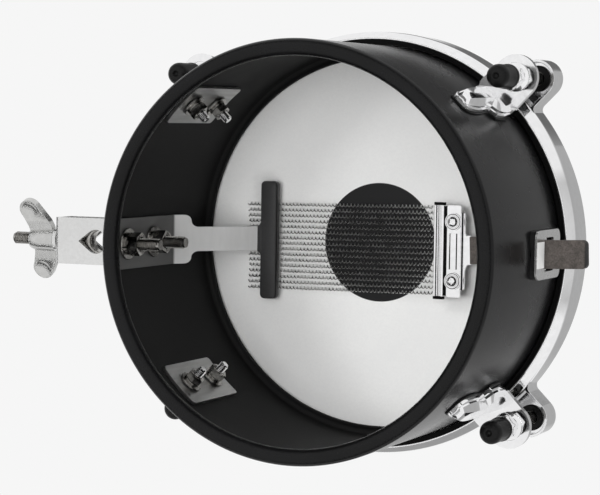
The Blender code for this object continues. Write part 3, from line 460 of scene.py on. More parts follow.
def lug_ring(z, half, side, top_half, top):
    """One section across the foot: round on the shell, with upright sides and bevelled shoulders."""
    ring = [(sqrt(LUG_BASE ** 2 - (half * k) ** 2), half * k, z) for k in (-1, -0.5, 0, 0.5, 1)]
    edge_x = ring[0][0]
    return ring + [(edge_x + side, half, z), (LUG_BASE + top, top_half, z), (LUG_BASE + top + 0.25, 0, z),
                   (LUG_BASE + top, -top_half, z), (edge_x + side, -half, z)]


FOOT_LINE = ((40.7, 2.4), (41.4, 4.0), (43.2, 5.8), (46.5, 7.1), (51, 7.9), (57, 8.3), (66, 7.9),
             (75.5, 6.9), (79.5, 7.5), (82.3, 10.0), (84.2, 11.9), (88, 12.5), (96, 12.9), (100.5, 12.9))


def lug_casting():
    """The foot's rim, its body, and the eye plate that stands out from its wide end."""
    rim = skinned([lug_ring(z, half - 0.3, 1.9, half - 0.9, 2.3) for z, half in FOOT_LINE[:-1]])
    body = skinned([lug_ring(*section) for section in (
        (42.0, 2.8, 3.0, 1.8, 4.2), (43.2, 4.4, 3.4, 3.0, 6.2), (46.5, 5.7, 3.6, 3.8, 7.4),
        (51, 6.6, 3.7, 4.2, 8.0), (57, 7.0, 3.8, 4.4, 8.4), (66, 6.6, 3.8, 4.3, 8.7),
        (75.5, 5.6, 3.9, 4.0, 8.7), (79.8, 6.2, 4.0, 4.3, 8.4), (82.8, 8.8, 4.2, 5.4, 8.0),
        (85.0, 10.6, 4.3, 6.8, 7.4), (90, 11.2, 4.3, 8.0, 6.6), (97, 11.6, 4.3, 8.6, 6.2))])
    base = LUG_BASE + 0.2
    half = [(sqrt(base ** 2 - y * y), y) for y in (5.0, 9.0, 12.0)]
    half += [(132.4, 13.2), (134.2, 14.2), (136, 14.4)] + arc(BOLT_R, 0, 14.0, 93, 4, 16)
    eye = plate(both_sides(half), 96, 100, [circle(BOLT_R, 0, 4.4)])
    studs = [turned_to(threaded(M6, 1.0, 110.5, 130.5), Matrix.Translation((0, 0, z))
                       @ Matrix.Rotation(pi / 2, 4, "Y")) for z in STUD_Z]
    return joined(rim, body, eye), studs


def wrapped_plate(outline, inner, outer, holes=()):
    """A thin plate bent round the drum at +X, from an outline of (arc length, z)."""
    bm = plate(outline, inner, outer, holes)
    for step in range(-8, 9):
        bmesh.ops.bisect_plane(bm, geom=bm.verts[:] + bm.edges[:] + bm.faces[:],
                               plane_co=(step * 2, 0, 0), plane_no=(1, 0, 0), dist=1e-4)
    for vert in bm.verts:
        along, z, r = vert.co
        vert.co = (r * cos(along / SHELL_R), r * sin(along / SHELL_R), z)
    bmesh.ops.recalc_face_normals(bm, faces=bm.faces)
    return bm


def round_box(x0, y0, x1, y1, radius, steps=5):
    points = arc(x1 - radius, y1 - radius, radius, 0, 90, steps)
    points += arc(x0 + radius, y1 - radius, radius, 90, 180, steps)
    points += arc(x0 + radius, y0 + radius, radius, 180, 270, steps)
    return points + arc(x1 - radius, y0 + radius, radius, 270, 360, steps)


def spring_washer(radius, hole, low, high):
    """A split washer, cut across at a slant and sprung a little out of flat."""
    bm = bmesh.new()
    box = ((hole, low), (radius, low), (radius, high), (hole, high))
    verts = [bm.verts.new((r, 0, z)) for r, z in box]
    edges = [bm.edges.new(pair) for pair in zip(verts, verts[1:] + verts[:1])]
    bmesh.ops.contextual_create(bm, geom=edges)
    bmesh.ops.spin(bm, geom=verts + edges, cent=(0, 0, 0), axis=(0, 0, 1), angle=radians(352),
                   steps=36, dvec=(0, 0, 0.15 / 36))
    bmesh.ops.holes_fill(bm, edges=[edge for edge in bm.edges if edge.is_boundary])
    bmesh.ops.recalc_face_normals(bm, faces=bm.faces)
    return bm


worn_steel = surface("worn_plate_steel", (0.52, 0.52, 0.515), (0.38, 0.38, 0.375), 1.0, 0.32, 0.46, 320,
                     45, 0.012, (1, 1, 0.12))
gasket_line = both_sides([(z - (0.7 if z < 45 else 0), half + 0.7) for z, half in FOOT_LINE])
for i, angle in enumerate(CORNERS, start=1):
    body, studs = lug_casting()
    spot = at_corner(angle)
    piece(f"lug_casting_{i}", joined(body, *studs), chrome, "drum", [f"lug_{i}"], spot,
          bevel=0.55, sharp=22)
    gasket = wrapped_plate([(y, z) for z, y in gasket_line], 128.2, 129.0)
    piece(f"foot_gasket_{i}", gasket, soft_black, "drum", [f"lug_gasket_{i}"], spot)
    backing = wrapped_plate(round_box(-16, 30.5, 16, 92.5, 3), 124.3, 126.3)
    piece(f"backing_strip_{i}", backing, worn_steel, "drum", [f"backing_plate_{i}"], spot,
          bevel=0.35)
    for j, z in enumerate(STUD_Z):
        nut = joined(spun([(3.3, 0), (7.4, 0), (7.6, 0.2), (7.6, 1.2), (7.4, 1.4), (3.3, 1.4)], 40),
                     spring_washer(5.5, 3.3, 1.4, 2.7), hex_bar(10, 2.8, 7.5, 3.25))
        seat = (spot @ Matrix.Translation((123.7 * MM, 0, z * MM)) @ Matrix.Rotation(-pi / 2, 4, "Y")
                @ Matrix.Rotation(radians(17 + 25 * j), 4, "Z"))
        number = 2 * i - 1 + j
        piece(f"stud_nut_{number}", nut, nickel, "drum", [f"lug_nut_{number}"], seat)


# Rod clamp: a U of thick steel strip, chromed to a satin, with a foot turned out at each end. Both
# flanges have a teardrop hole for the stand's rod, and two M8 bolts through the shell hold the feet
# outside and the spring arm inside. Dome heads outside, nuts on spring washers inside.

ARM_BOLT_Z = (26.4, 61.0)
CLAMP_T = 2.8
CLAMP_FOOT_X = -129.7
CLAMP_WEB_X = -178.6
CLAMP_Z = (34.5, 53.0)


def unit(start, end):
    length = hypot(end[0] - start[0], end[1] - start[1])
    return ((end[0] - start[0]) / length, (end[1] - start[1]) / length)


def soft_path(points, radius, steps=6):
    """A bent line in (x, z) whose inner corners are turned into arcs."""
    path = [points[0]]
    for before, corner, after in zip(points, points[1:], points[2:]):
        back, ahead = unit(corner, before), unit(corner, after)
        half = sqrt((1 - (back[0] * ahead[0] + back[1] * ahead[1])) / 2)
        reach = radius * sqrt(max(1 - half * half, 0)) / half
        for i in range(steps + 1):
            k = i / steps
            a, b, c = (1 - k) ** 2 * reach, 1.0, k * k * reach
            path.append(tuple(corner[n] * b + back[n] * a + ahead[n] * c for n in (0, 1)))
    path.append(points[-1])
    return path


def half_at(widths, s):
    if s <= widths[0][0]:
        return widths[0][1]
    for (s0, half0), (s1, half1) in zip(widths, widths[1:]):
        if s <= s1:
            return half0 + (half1 - half0) * (s - s0) / (s1 - s0)
    return widths[-1][1]


def strip(path, widths, thickness):
    """A flat strip bent in the XZ plane along a path; widths are (length along it, half width)."""
    lengths = [0.0]
    for a, b in zip(path, path[1:]):
        lengths.append(lengths[-1] + hypot(b[0] - a[0], b[1] - a[1]))
    marks = [s for s, half in widths if all(abs(s - t) > 0.02 for t in lengths)]
    rings = []
    for s in sorted(lengths + [s for s in marks if s < lengths[-1]]):
        i = max(k for k, start in enumerate(lengths[:-1]) if start <= s + 1e-6)
        here = unit(path[i], path[i + 1])
        last = unit(path[i - 1], path[i]) if i > 0 and abs(s - lengths[i]) < 1e-6 else here
        k = (s - lengths[i]) / (lengths[i + 1] - lengths[i])
        x, z = (path[i][n] + (path[i + 1][n] - path[i][n]) * k for n in (0, 1))
        run = (here[0] + last[0], here[1] + last[1])
        size = hypot(*run)
        normal = (-run[1] / size, run[0] / size)
        reach = 0.5 * thickness / (normal[1] * here[0] - normal[0] * here[1])
        half = half_at(widths, s)
        up = (x + normal[0] * reach, z + normal[1] * reach)
        down = (x - normal[0] * reach, z - normal[1] * reach)
        rings.append([(up[0], -half, up[1]), (up[0], half, up[1]),
                      (down[0], half, down[1]), (down[0], -half, down[1])])
    return skinned(rings)


def cut_with(bm, *tools):
    """Cut closed solids out of another."""
    whole, cutter = (bpy.data.objects.new(name, bpy.data.meshes.new(name)) for name in ("whole", "cutter"))
    bm.to_mesh(whole.data)
    joined(*tools).to_mesh(cutter.data)
    for obj in (whole, cutter):
        bpy.context.scene.collection.objects.link(obj)
    boolean = whole.modifiers.new("cut", "BOOLEAN")
    boolean.operation, boolean.solver, boolean.object = "DIFFERENCE", "EXACT", cutter
    made = bpy.data.meshes.new_from_object(whole.evaluated_get(bpy.context.evaluated_depsgraph_get()))
    bm.clear()
    bm.from_mesh(made)
    for obj in (whole, cutter):
        mesh = obj.data
        bpy.data.objects.remove(obj, do_unlink=True)
        bpy.data.meshes.remove(mesh)
    bpy.data.meshes.remove(made)
    return bm


def bar(radius, low, high, steps=32):
    return spun([(0, low), (radius, low), (radius, high), (0, high)], steps)


def lying(bm, x=0.0, y=0.0, z=0.0):
    """Turn a shape made along Z to lie along X, from a point."""
    return turned_to(bm, Matrix.Translation((x, y, z)) @ Matrix.Rotation(pi / 2, 4, "Y"))


satin_chrome = surface("satin_chrome", (0.76, 0.76, 0.755), (0.69, 0.69, 0.685), 1.0, 0.20, 0.28, 420, 30,
                       0.006)
low, high = CLAMP_Z
clamp_path = soft_path([(CLAMP_FOOT_X, 18.5), (CLAMP_FOOT_X, low), (CLAMP_WEB_X, low),
                        (CLAMP_WEB_X, high), (CLAMP_FOOT_X, high), (CLAMP_FOOT_X, 69.0)], 2.6)
clamp_length = sum(hypot(b[0] - a[0], b[1] - a[1]) for a, b in zip(clamp_path, clamp_path[1:]))
corner = [(3 - 3 * cos(radians(a)), 14.8 - 3 + 3 * sin(radians(a))) for a in range(0, 91, 15)]
clamp_widths = corner + [(clamp_length - s, half) for s, half in reversed(corner)]
turn = degrees(acos(7.6 / 12.3))
tear = both_sides([(-161.8, 0.3)] + arc(-149.5, 0, 7.6, 180 - turn, 4, 16))
clamp = cut_with(strip(clamp_path, clamp_widths, CLAMP_T), plate(tear, low - 5, high + 5),
                 lying(bar(4.4, 0, 12), CLAMP_WEB_X - 6, 0, sum(CLAMP_Z) / 2),
                 *[lying(bar(4.4, 0, 12), CLAMP_FOOT_X - 6, 0, z) for z in ARM_BOLT_Z])
piece("rod_clamp", clamp, satin_chrome, "drum", ["clamp_bracket"], bevel=0.45)

dome = [(0, -4.2), (1.6, -4.15), (3.0, -3.9), (4.3, -3.3), (5.2, -2.3), (5.7, -1.1), (5.8, 0),
        (4, 0), (4, 9), (0, 9)]
for i, z in enumerate(ARM_BOLT_Z, start=1):
    seat = DRUM @ Matrix.Translation((-131.4 * MM, 0, z * MM)) @ Matrix.Rotation(pi / 2, 4, "Y")
    piece(f"wall_bolt_{i}", joined(spun(dome, 40), threaded(M8, M8_PITCH, 7.5, 32.2)), nickel, "drum",
          [f"arm_bolt_{i}"], seat)
    nut = joined(spun([(4.3, 0), (9.7, 0), (10, 0.3), (10, 1.3), (9.7, 1.6), (4.3, 1.6)], 48),
                 spring_washer(7.2, 4.3, 1.65, 3.45), hex_bar(13, 3.65, 10.4, 4.3))
    seat = (DRUM @ Matrix.Translation((-123.1 * MM, 0, z * MM)) @ Matrix.Rotation(pi / 2, 4, "Y")
            @ Matrix.Rotation(radians(20 * i), 4, "Z"))
    piece(f"wall_nut_{i}", nut, nickel, "drum", [f"arm_nut_{i}"], seat)


# Eye bolt and wing nut: a forged M8 eye inside the clamp draws the rod against the flanges' points
# when the cast wing nut outside is turned. A plain washer lies between nut and clamp.

CLAMP_MID = sum(CLAMP_Z) / 2
eye_line = [(6.8, -3.4), (7.1, -4.1), (7.8, -4.5), (10, -4.5), (11, -4.1), (11.5, -3.2), (11.5, 3.2),
            (11, 4.1), (10, 4.5), (7.8, 4.5), (7.1, 4.1), (6.8, 3.4)]
neck = lying(spun([(0, -18), (3.9, -18), (3.9, -13), (4.6, -10), (0, -10)], 32))
shank = lying(joined(bar(3.9, -30, -17), threaded(M8, M8_PITCH, -64.9, -28)))
eye = turned_to(joined(spun(eye_line, 56), neck, shank), Matrix.Translation((-150.5, 0, CLAMP_MID)))
piece("forged_eye_bolt", eye, nickel, "eye_bolt", ["eye_bolt"])
washer = lying(spun([(4.3, 0), (8.7, 0), (9, 0.3), (9, 2.4), (8.7, 2.7), (4.3, 2.7)], 48), -183, 0,
               CLAMP_MID)
piece("plain_washer", washer, satin_chrome, "drum", ["clamp_washer"])

hub = spun([(4.3, 0.4), (4.7, 0), (7.5, 0), (7.9, 0.4), (7.7, 12), (7.3, 16.6), (6.6, 18.6), (5.4, 19.4),
            (4.7, 19.5), (4.3, 19.1)], 48)
lobe_line = [(6, 1.0), (10, 1.4), (13.5, 2.4)] + arc(21.3, 15.2, 7.1, -60, 124, 20)
lobe_line += [(13.2, 19.6), (9.5, 18.4), (6, 18)]
wings = []
for half_turn in (0, pi):
    blade = plate(lobe_line, -2.1, 2.1)
    dishes = []
    for side in (-1, 1):
        ball = bmesh.new()
        bmesh.ops.create_uvsphere(ball, u_segments=48, v_segments=24, radius=14)
        dishes.append(turned_to(ball, Matrix.Translation((21.3, 15.2, side * 14.9))))
    wings.append(turned_to(cut_with(blade, *dishes), Matrix.Rotation(half_turn, 4, "Z")
                           @ Matrix.Rotation(pi / 2, 4, "X")))
nut_place = (DRUM @ Matrix.Translation((-183.3 * MM, 0, CLAMP_MID * MM)) @ Matrix.Rotation(-pi / 2, 4, "Y")
             @ Matrix.Rotation(radians(65), 4, "Z"))
cast_chrome = surface("cast_wing_plate", (0.64, 0.64, 0.63), (0.55, 0.55, 0.54), 1.0, 0.20, 0.30, 300, 60,
                      0.003)
piece("cast_wing_nut", joined(hub, *wings), cast_chrome, "wing_nut", ["wing_nut"], nut_place,
      bevel=0.7)


# Spring arm: a steel plate on the shell's inside that narrows, at round shoulders, to a strip and
# leans in under the head. A moulded rubber pad on its tip is what the snare wires lie across.

arm_points = [(-124.4, 14), (-124.4, 89.7), (-85.0, 137.85), (-73, 137.85)]
arm_path = soft_path(arm_points[:3], 9, 9)[:-1] + soft_path(arm_points[1:], 4, 5)[1:]
shoulder = 83.7
arm_widths = [(3 - 3 * cos(radians(a)), 13 + 3 * sin(radians(a))) for a in range(0, 91, 18)]
arm_widths += [(shoulder + 5.3 * sin(radians(a)), 16 - 4 * (1 - cos(radians(a)))) for a in range(0, 91, 9)]
arm_widths += [(shoulder + 5.3 * (2 - cos(radians(a))), 12 - 4 * sin(radians(a)))
               for a in range(9, 91, 9)]
arm = cut_with(strip(arm_path, arm_widths, 2.0),
               *[lying(bar(4.4, 0, 8), -128, 0, z) for z in ARM_BOLT_Z])
arm_steel = surface("spring_arm_steel", (0.70, 0.70, 0.695), (0.64, 0.64, 0.635), 0.25, 0.42, 0.54, 300,
                    40, 0.01, (1, 0.15, 1))
# Painted shade: below the crease, at z 89 to 90.4 mm, the arm's upright part on the wall is darkened because it
# gets less light.
tinted(arm_steel, ramp(arm_steel, 90.4, 89.0), (0.10, 0.10, 0.098))
piece("sprung_arm", arm, arm_steel, "drum", ["spring_arm"], bevel=0.3)

pad = plate(round_box(-82, 0.8 - 39.2, -70, 0.8 + 39.2, 3, 6), 135, 140.7)
rims = [edge for edge in pad.edges if len({round(vert.co.z, 3) for vert in edge.verts}) == 1
        and edge.calc_face_angle(0) > radians(45)]
bmesh.ops.bevel(pad, geom=rims, offset=1.3, segments=4, profile=0.5, affect="EDGES", material=-1)
sock = plate(both_sides([(-84.2, 8.7), (-83.2, 8.9), (-82.4, 9.6), (-82.0, 10.6), (-80, 10.6)]), 135.4, 140.3)
room = [(-91, -8.3), (-72.7, -8.3), (-72.7, 8.3), (-91, 8.3)]
moulded_black = surface("moulded_black_pad", (0.040, 0.040, 0.041), (0.030, 0.030, 0.030), 0.0,
                        0.28, 0.40, 1100, 60, 0.02, gloss=0.45)
# Painted shade: the pad's side facing +X is darkened to near black. The guide pad, which shares this finish,
# gets the same near black all over.
tinted(moulded_black, ramp(moulded_black, -43.2, -42.2, "X"), (0.004, 0.004, 0.004))
pad, sock = (cut_with(bm, plate(room, 136.55, 139.15)) for bm in (pad, sock))
piece("moulded_pad", joined(pad, sock), moulded_black, "drum", ["arm_pad"], bevel=0.3)


# Snare: sixteen coils of steel wire, soldered to a ridged end plate. A clamp plate and two dome
# screws hold the end plate to the lever, a chromed strip that runs out through the shell at +X and
# carries a rubber sleeve. All of it is built along X from the line that it tilts about.

DROP = 0.056
TILT = (Matrix.Translation((-0.0475, 0.007124, 0.1425)) @ Matrix.Rotation(-radians(2), 4, "Z")
        @ Matrix.Rotation(DROP, 4, "Y"))
STRANDS = 16
STRAND_PITCH = 3.7
COIL_PITCH = 2.65
COIL_R = 0.92
WIRE_R = 0.38


def coil(low, high):
    """One strand: wire wound along Z, its two ends closed flat."""
    bm = bmesh.new()
    turns = int((high - low) / COIL_PITCH)
    section = bmesh.ops.create_circle(bm, segments=5, radius=WIRE_R, matrix=Matrix.Translation(
        (COIL_R, 0, low)) @ Matrix.Rotation(pi / 2, 4, "X"))["verts"]
    edges = list({edge for vert in section for edge in vert.link_edges})
    bmesh.ops.spin(bm, geom=section + edges, cent=(0, 0, 0), axis=(0, 0, 1), angle=2 * pi * turns,
                   steps=9 * turns, dvec=(0, 0, COIL_PITCH / 9))
    bmesh.ops.holes_fill(bm, edges=[edge for edge in bm.edges if edge.is_boundary])
    bmesh.ops.recalc_face_normals(bm, faces=bm.faces)
    return bm


def across(profile, half):
    """A section in (x, z) drawn out along Y to both sides."""
    return turned_to(plate(profile, -half, half), Matrix.Rotation(pi / 2, 4, "X"))


coils = []
for n in range(STRANDS):
    y = (n - (STRANDS - 1) / 2) * STRAND_PITCH
    coils.append(turned_to(coil(-18.0, 118.6), Matrix.Translation((0, y, 0)) @ Matrix.Rotation(pi / 2, 4, "Y")
                           @ Matrix.Rotation(radians(47 * n), 4, "Z")))
wire_steel = surface("snare_wire_steel", (0.80, 0.80, 0.79), (0.62, 0.62, 0.61), 1.0, 0.2, 0.34, 500, 60,
                     0.002)
fan = Matrix.Translation((117, 0, 0)) @ Matrix.Rotation(radians(1.15), 4, "Z") @ Matrix.Translation((-117, 0, 0))
piece("snare_coils", turned_to(joined(*coils), fan), wire_steel, "lever", ["snare_wires"], TILT,
      sharp=60)

SQUARE = (Matrix.Translation((132.9, 0.6, 0)) @ Matrix.Rotation(radians(2), 4, "Z")
          @ Matrix.Translation((-132.3, 0, 0)))
ridged = [(118.3, -0.7), (118.3, -3.1), (118.5, -3.4), (119.6, -3.4), (119.9, -3.1), (120.6, -2.1),
          (121.4, -2.8), (121.6, -3.0), (122.1, -3.0), (122.3, -2.8), (122.8, -2.2), (123.4, -3.1),
          (123.6, -3.4), (125.0, -3.4), (125.2, -3.1), (125.2, -0.7)]
piece("ridged_end_plate", turned_to(across(ridged, 29.3), SQUARE), chrome, "lever", (), TILT,
      bevel=0.12)
# A near-black plate under the clamp plate, with a small cap at each end, makes the dark strip beside the ridged
# end plate.
tail = turned_to(across([(124.9, -2.6), (137, -2.6), (137, -1.8), (124.9, -1.8)], 28.8), SQUARE)
end_caps = [turned_to(across([(118.0, -2.9), (118.6, -3.8), (124.9, -3.8), (125.5, -2.9), (125.5, -0.6),
                              (118.0, -0.6)], 0.95), SQUARE @ Matrix.Translation((0, y, 0)))
            for y in (-30.2, 30.2)]
piece("dark_tail_strip", joined(tail, *end_caps), near_black, "lever", (), TILT, bevel=0.3)
SCREW_X = 132.3
clamp_top = plate(round_box(127.9, -29.5, 137.4, 29.5, 1.2), -4.4, -2.9,
                  [circle(SCREW_X, y, 2.3) for y in (-19, 19)])
rib = across([(129.4, -4.3), (130.1, -4.9), (131.0, -5.1), (133.6, -5.1), (134.5, -4.9), (135.2, -4.3)], 11.5)
piece("wire_clamp_plate", turned_to(joined(clamp_top, rib), SQUARE), chrome, "lever",
      ["clamp_plate"], TILT, bevel=0.3)
screw_line = [(0, -7.2), (1.3, -7.15), (2.3, -6.85), (3.0, -6.35), (3.3, -5.9), (3.35, -5.6), (3.8, -5.5),
              (4.1, -5.7), (4.5, -5.75), (4.9, -5.55), (5.1, -5.3), (5.6, -5.2), (5.6, -4.9), (5.4, -4.7),
              (2, -4.7), (2, -0.1), (0, -0.1)]
for i, y in enumerate((-19, 19), start=1):
    slots = [turned_to(plate(round_box(-2.4, -0.45, 2.4, 0.45, 0.2, 2), -7.6, -6.2),
                       Matrix.Rotation(radians(a), 4, "Z")) for a in (20 + 31 * i, 110 + 31 * i)]
    head = cut_with(cut_with(spun(screw_line, 40), slots[0]), slots[1])
    head = turned_to(head, SQUARE @ Matrix.Translation((SCREW_X, y, 0)))
    piece(f"dome_screw_{i}", head, chrome, "lever", [f"clamp_screw_{i}"], TILT)


def in_tilt(x, z):
    """A point of the drum's XZ plane in the snare's own frame, with the snare let down."""
    dx, dz = x + 76.0, z - 142.5
    return (dx * cos(DROP) - dz * sin(DROP), dx * sin(DROP) + dz * cos(DROP))


LEVER_Z = -0.75
down_x = in_tilt(67.5, 0)[0] - LEVER_Z * tan(DROP)
bend = (down_x * cos(DROP), LEVER_Z)
joggle = 142.5 - bend[0] * sin(DROP) + LEVER_Z - 88.25
foot_end = in_tilt(-76.0 + bend[0] * cos(DROP) + joggle, 88.25)
grip_end = in_tilt(158.4, 88.25)
back = unit(grip_end, foot_end)
core_end = (grip_end[0] + back[0] * 3, grip_end[1] + back[1] * 3)
lever_path = soft_path([(124.2, LEVER_Z), bend, foot_end, core_end], 4)
tongue = 19.5
lever_widths = [(0, 24.0), (0.8, 24.8), (14.0, 24.8), (14.8, 24.2), (15.1, 12), (15.7, 10.2),
                (17.0, 9.5), (tongue, 9.5), (tongue + 0.5, 6), (1000, 6)]
holes = [turned_to(bar(2.3, -8, 2), Matrix.Translation((SCREW_X, y, 0))) for y in (-19, 19)]
lever = cut_with(strip(lever_path, lever_widths, 1.5), *holes)
for vert in lever.verts:
    if vert.co.x < 140.5:
        vert.co = SQUARE @ vert.co
piece("chromed_lever", lever, chrome, "lever", ["snare_lever"], TILT, bevel=0.2)

sleeve_path = soft_path([(144.0, LEVER_Z), bend, foot_end, grip_end], 4)
sleeve_length = sum(hypot(b[0] - a[0], b[1] - a[1]) for a, b in zip(sleeve_path, sleeve_path[1:]))
sleeve_widths = [(0, 8.65)] + [(sleeve_length - 3 + 3 * sin(radians(a)), 5.65 + 3 * cos(radians(a)))
                               for a in range(0, 91, 10)]
room_end = (core_end[0] - back[0] * 0.3, core_end[1] - back[1] * 0.3)
room_path = soft_path([(140.0, LEVER_Z), bend, foot_end, room_end], 4)
sleeve = cut_with(strip(sleeve_path, sleeve_widths, 5.0), strip(room_path, [(0, 6.3), (1000, 6.3)], 2.1))
worn_and_shaded_sleeve = surface("worn_grip_rubber_shaded_end", (0.105, 0.091, 0.083), (0.045, 0.039, 0.035), 0.0, 0.4, 0.6, 900,
                      260, 0.06, gloss=0.3)
# Painted shade: the sleeve's far end face is darkened to near black.
tinted(worn_and_shaded_sleeve, ramp(worn_and_shaded_sleeve, 184.9, 186.3, "X"), (0.012, 0.012, 0.012))
piece("rubber_sleeve", sleeve, worn_and_shaded_sleeve, "lever", ["grip_sleeve"], TILT, bevel=0.8)


# Guide plate: a chromed plate round the lever's slot outside, on a moulded black pad that fits the
# shell. How it is fixed doesn't show. A pale matt patch on the plate's near end is a painted highlight.

guide = turned_to(plate(round_box(-15, 70.5, 15, 116, 5.5, 8), 130.5, 132.0,
                        [round_box(-10.3, 85.3, 10.3, 103.1, 1.5)]),
                  Matrix(((0, 0, 1, 0), (1, 0, 0, 0), (0, 1, 0, 0), (0, 0, 0, 1))))
piece("chromed_guide", guide, satin_chrome, "drum", ["guide_plate"], bevel=0.3)
# Painted highlight: a pale matt patch below the slot stands in for the bright highlight on the plate's near end.
pale_patch = turned_to(plate(round_box(-8, 71.2, 8, 84.6, 0.5), 131.9, 132.15),
                  Matrix(((0, 0, 1, 0), (1, 0, 0, 0), (0, 1, 0, 0), (0, 0, 0, 1))))
pale_highlight_finish = surface("pale_highlight_finish", (0.80, 0.80, 0.79), (0.72, 0.72, 0.71), 0.0, 0.4, 0.5, 300, 40, 0.003)
piece("painted_highlight_patch", pale_patch, pale_highlight_finish, "drum")
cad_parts["guide_pad"].material_slots[0].material = moulded_black


# Studio: a pale floor that shows only from above, a pale surround, soft lamps round the drum, some
# of them low because the photographed side is the open rim, grey and black cards that only the
# bright metal reflects, and the camera at the photo's angle.

def light_path_mix(nodes, link, first, second, seen_by):
    """Mix two shaders: the second is for the kinds of ray that are named."""
    path = nodes.new("ShaderNodeLightPath")
    last = path.outputs[seen_by[0]]
    for name in seen_by[1:]:
        either = nodes.new("ShaderNodeMath")
        either.operation = "MAXIMUM"
        link(last, either.inputs[0])
        link(path.outputs[name], either.inputs[1])
        last = either.outputs[0]
    mix = nodes.new("ShaderNodeMixShader")
    link(last, mix.inputs["Fac"])
    link(first, mix.inputs[1])
    link(second, mix.inputs[2])
    return mix


world = bpy.data.worlds.new("surround")
world.use_nodes = True
nodes, link = world.node_tree.nodes, world.node_tree.links.new
soft_light = nodes["Background"]
soft_light.inputs["Color"].default_value = (1, 1, 1, 1)
soft_light.inputs["Strength"].default_value = 0.8
backdrop = nodes.new("ShaderNodeBackground")
backdrop.inputs["Color"].default_value = (0.922, 0.922, 0.922, 1)
mix = light_path_mix(nodes, link, soft_light.outputs[0], backdrop.outputs[0],
                     ["Is Camera Ray", "Is Glossy Ray", "Is Transmission Ray"])
link(mix.outputs[0], nodes["World Output"].inputs["Surface"])
bpy.context.scene.world = world

floor_paint = bpy.data.materials.new("floor_paint")
floor_paint.use_nodes = True
nodes, link = floor_paint.node_tree.nodes, floor_paint.node_tree.links.new
nodes["Principled BSDF"].inputs["Base Color"].default_value = (0.88, 0.88, 0.88, 1)
nodes["Principled BSDF"].inputs["Roughness"].default_value = 0.7
clear = nodes.new("ShaderNodeBsdfTransparent")
side = nodes.new("ShaderNodeNewGeometry")
from_above = nodes.new("ShaderNodeMixShader")
link(side.outputs["Backfacing"], from_above.inputs["Fac"])
link(nodes["Principled BSDF"].outputs[0], from_above.inputs[1])
link(clear.outputs[0], from_above.inputs[2])
mix = light_path_mix(nodes, link, clear.outputs[0], from_above.outputs[0], ["Is Camera Ray"])
link(mix.outputs[0], nodes["Material Output"].inputs["Surface"])


def studio_sheet(name, bm, material):
    mesh = bpy.data.meshes.new(name)
    bm.to_mesh(mesh)
    bm.free()
    mesh.materials.append(material)
    sheet = bpy.data.objects.new(name, mesh)
    bpy.context.scene.collection.objects.link(sheet)
    return sheet


bm = bmesh.new()
bmesh.ops.create_grid(bm, x_segments=1, y_segments=1, size=3.0)
studio_sheet("floor", bm, floor_paint)


def card(name, grey, bm):
    """A sheet of one even tone that shows only in reflections."""
    paper = bpy.data.materials.new(name)
    paper.use_nodes = True
    nodes, link = paper.node_tree.nodes, paper.node_tree.links.new
    glow, clear, fade = (nodes.new("ShaderNode" + kind) for kind in ("Emission", "BsdfTransparent", "Attribute"))
    glow.inputs["Color"].default_value = (1, 1, 1, 1)
    glow.inputs["Strength"].default_value = grey
    fade.attribute_name = "fade"
    mix = nodes.new("ShaderNodeMixShader")
    link(fade.outputs["Fac"], mix.inputs["Fac"])
    link(clear.outputs[0], mix.inputs[1])
    link(glow.outputs[0], mix.inputs[2])
    link(mix.outputs[0], nodes["Material Output"].inputs["Surface"])
    sheet = studio_sheet(name, bm, paper)
    sheet.visible_camera = sheet.visible_diffuse = sheet.visible_shadow = False
    sheet.visible_transmission = sheet.visible_volume_scatter = False


def soft_card(name, grey, width, height, place):
    """A flat card that faces the drum, faded out towards its edges."""
    bm = bmesh.new()
    bmesh.ops.create_grid(bm, x_segments=16, y_segments=16, size=0.5)
    solid = bm.verts.layers.float.new("fade")
    for vert in bm.verts:
        inset = 0.5 - max(abs(vert.co.x), abs(vert.co.y))
        vert[solid] = min(1.0, inset / 0.16)
    bmesh.ops.scale(bm, vec=(width, height, 1), verts=bm.verts)
    aim = Vector(place).to_track_quat("Z", "Y").to_matrix().to_4x4()
    bmesh.ops.transform(bm, matrix=Matrix.Translation(place) @ aim, verts=bm.verts)
    card(name, grey, bm)


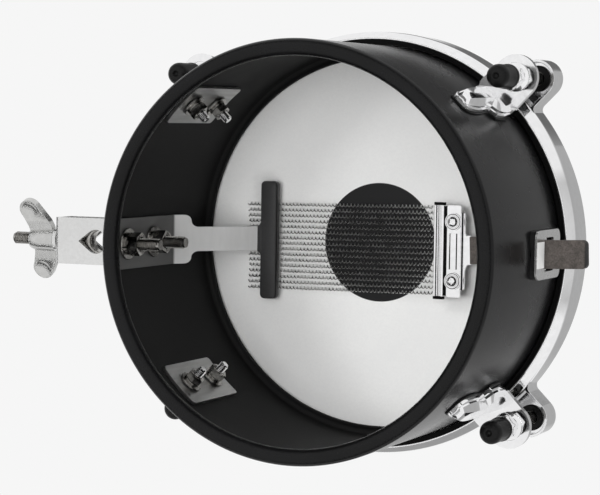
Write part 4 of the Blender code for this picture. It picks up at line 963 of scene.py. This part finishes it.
def ring_card(name, grey, radius, low, high):
    """A band round the drum's axis, in metres."""
    bm = bmesh.new()
    bmesh.ops.create_cone(bm, segments=96, radius1=radius, radius2=radius, depth=high - low)
    solid = bm.verts.layers.float.new("fade")
    for vert in bm.verts:
        vert[solid] = 1.0
    bmesh.ops.translate(bm, vec=(DRUM.translation.x, 0, (low + high) / 2), verts=bm.verts)
    card(name, grey, bm)


soft_card("grey_card_high", 0.42, 2.2, 3.4, (0.95, 0.0, 1.7))
soft_card("grey_card_near", 0.34, 3.2, 1.3, (-0.3, 1.7, 1.3))
soft_card("grey_card_top", 0.15, 1.2, 1.3, (-0.05, -0.85, 1.8))
ring_card("dark_horizon", 0.05, 2.2, -1.0, 0.02)
ring_card("light_ring", 3.0, 1.9, -0.62, -0.55)

for name, place, size, power in (
        ("key_high", (-0.9, -1.0, 1.3), 0.9, 9), ("fill_high", (1.2, 0.9, 1.1), 0.9, 6),
        ("key_low", (-0.7, -1.1, -1.1), 0.9, 10), ("fill_low", (1.3, 0.7, -0.9), 0.8, 7),
        ("left_low", (-0.85, -0.1, -1.5), 0.35, 7), ("front_low", (0.35, -0.3, -1.6), 0.9, 3),
        ("below", (0.05, -0.05, -1.8), 0.7, 11)):
    lamp = bpy.data.lights.new(name, "AREA")
    lamp.shape, lamp.size, lamp.energy = "SQUARE", size, power
    obj = bpy.data.objects.new(name, lamp)
    bpy.context.scene.collection.objects.link(obj)
    obj.location = place
    obj.rotation_euler = Vector(place).to_track_quat("Z", "Y").to_euler()
    obj.visible_glossy = False

lens = bpy.data.cameras.new("camera")
lens.sensor_width, lens.lens = 36.0, 132.0
lens.clip_start, lens.clip_end = 0.05, 20
camera = bpy.data.objects.new("camera", lens)
bpy.context.scene.collection.objects.link(camera)
right = (0.911578, -0.014937, 0.410856)
up = (-0.037837, -0.998147, 0.047663)
behind = (0.409382, -0.058994, -0.910454)
turned_round = Matrix((right, up, behind)).transposed().to_4x4()
camera.matrix_world = Matrix.Translation((0.542255 + 0.0285, -0.080844, -1.188138)) @ turned_round
bpy.context.scene.camera = camera
bpy.context.scene.view_settings.view_transform = "Standard"
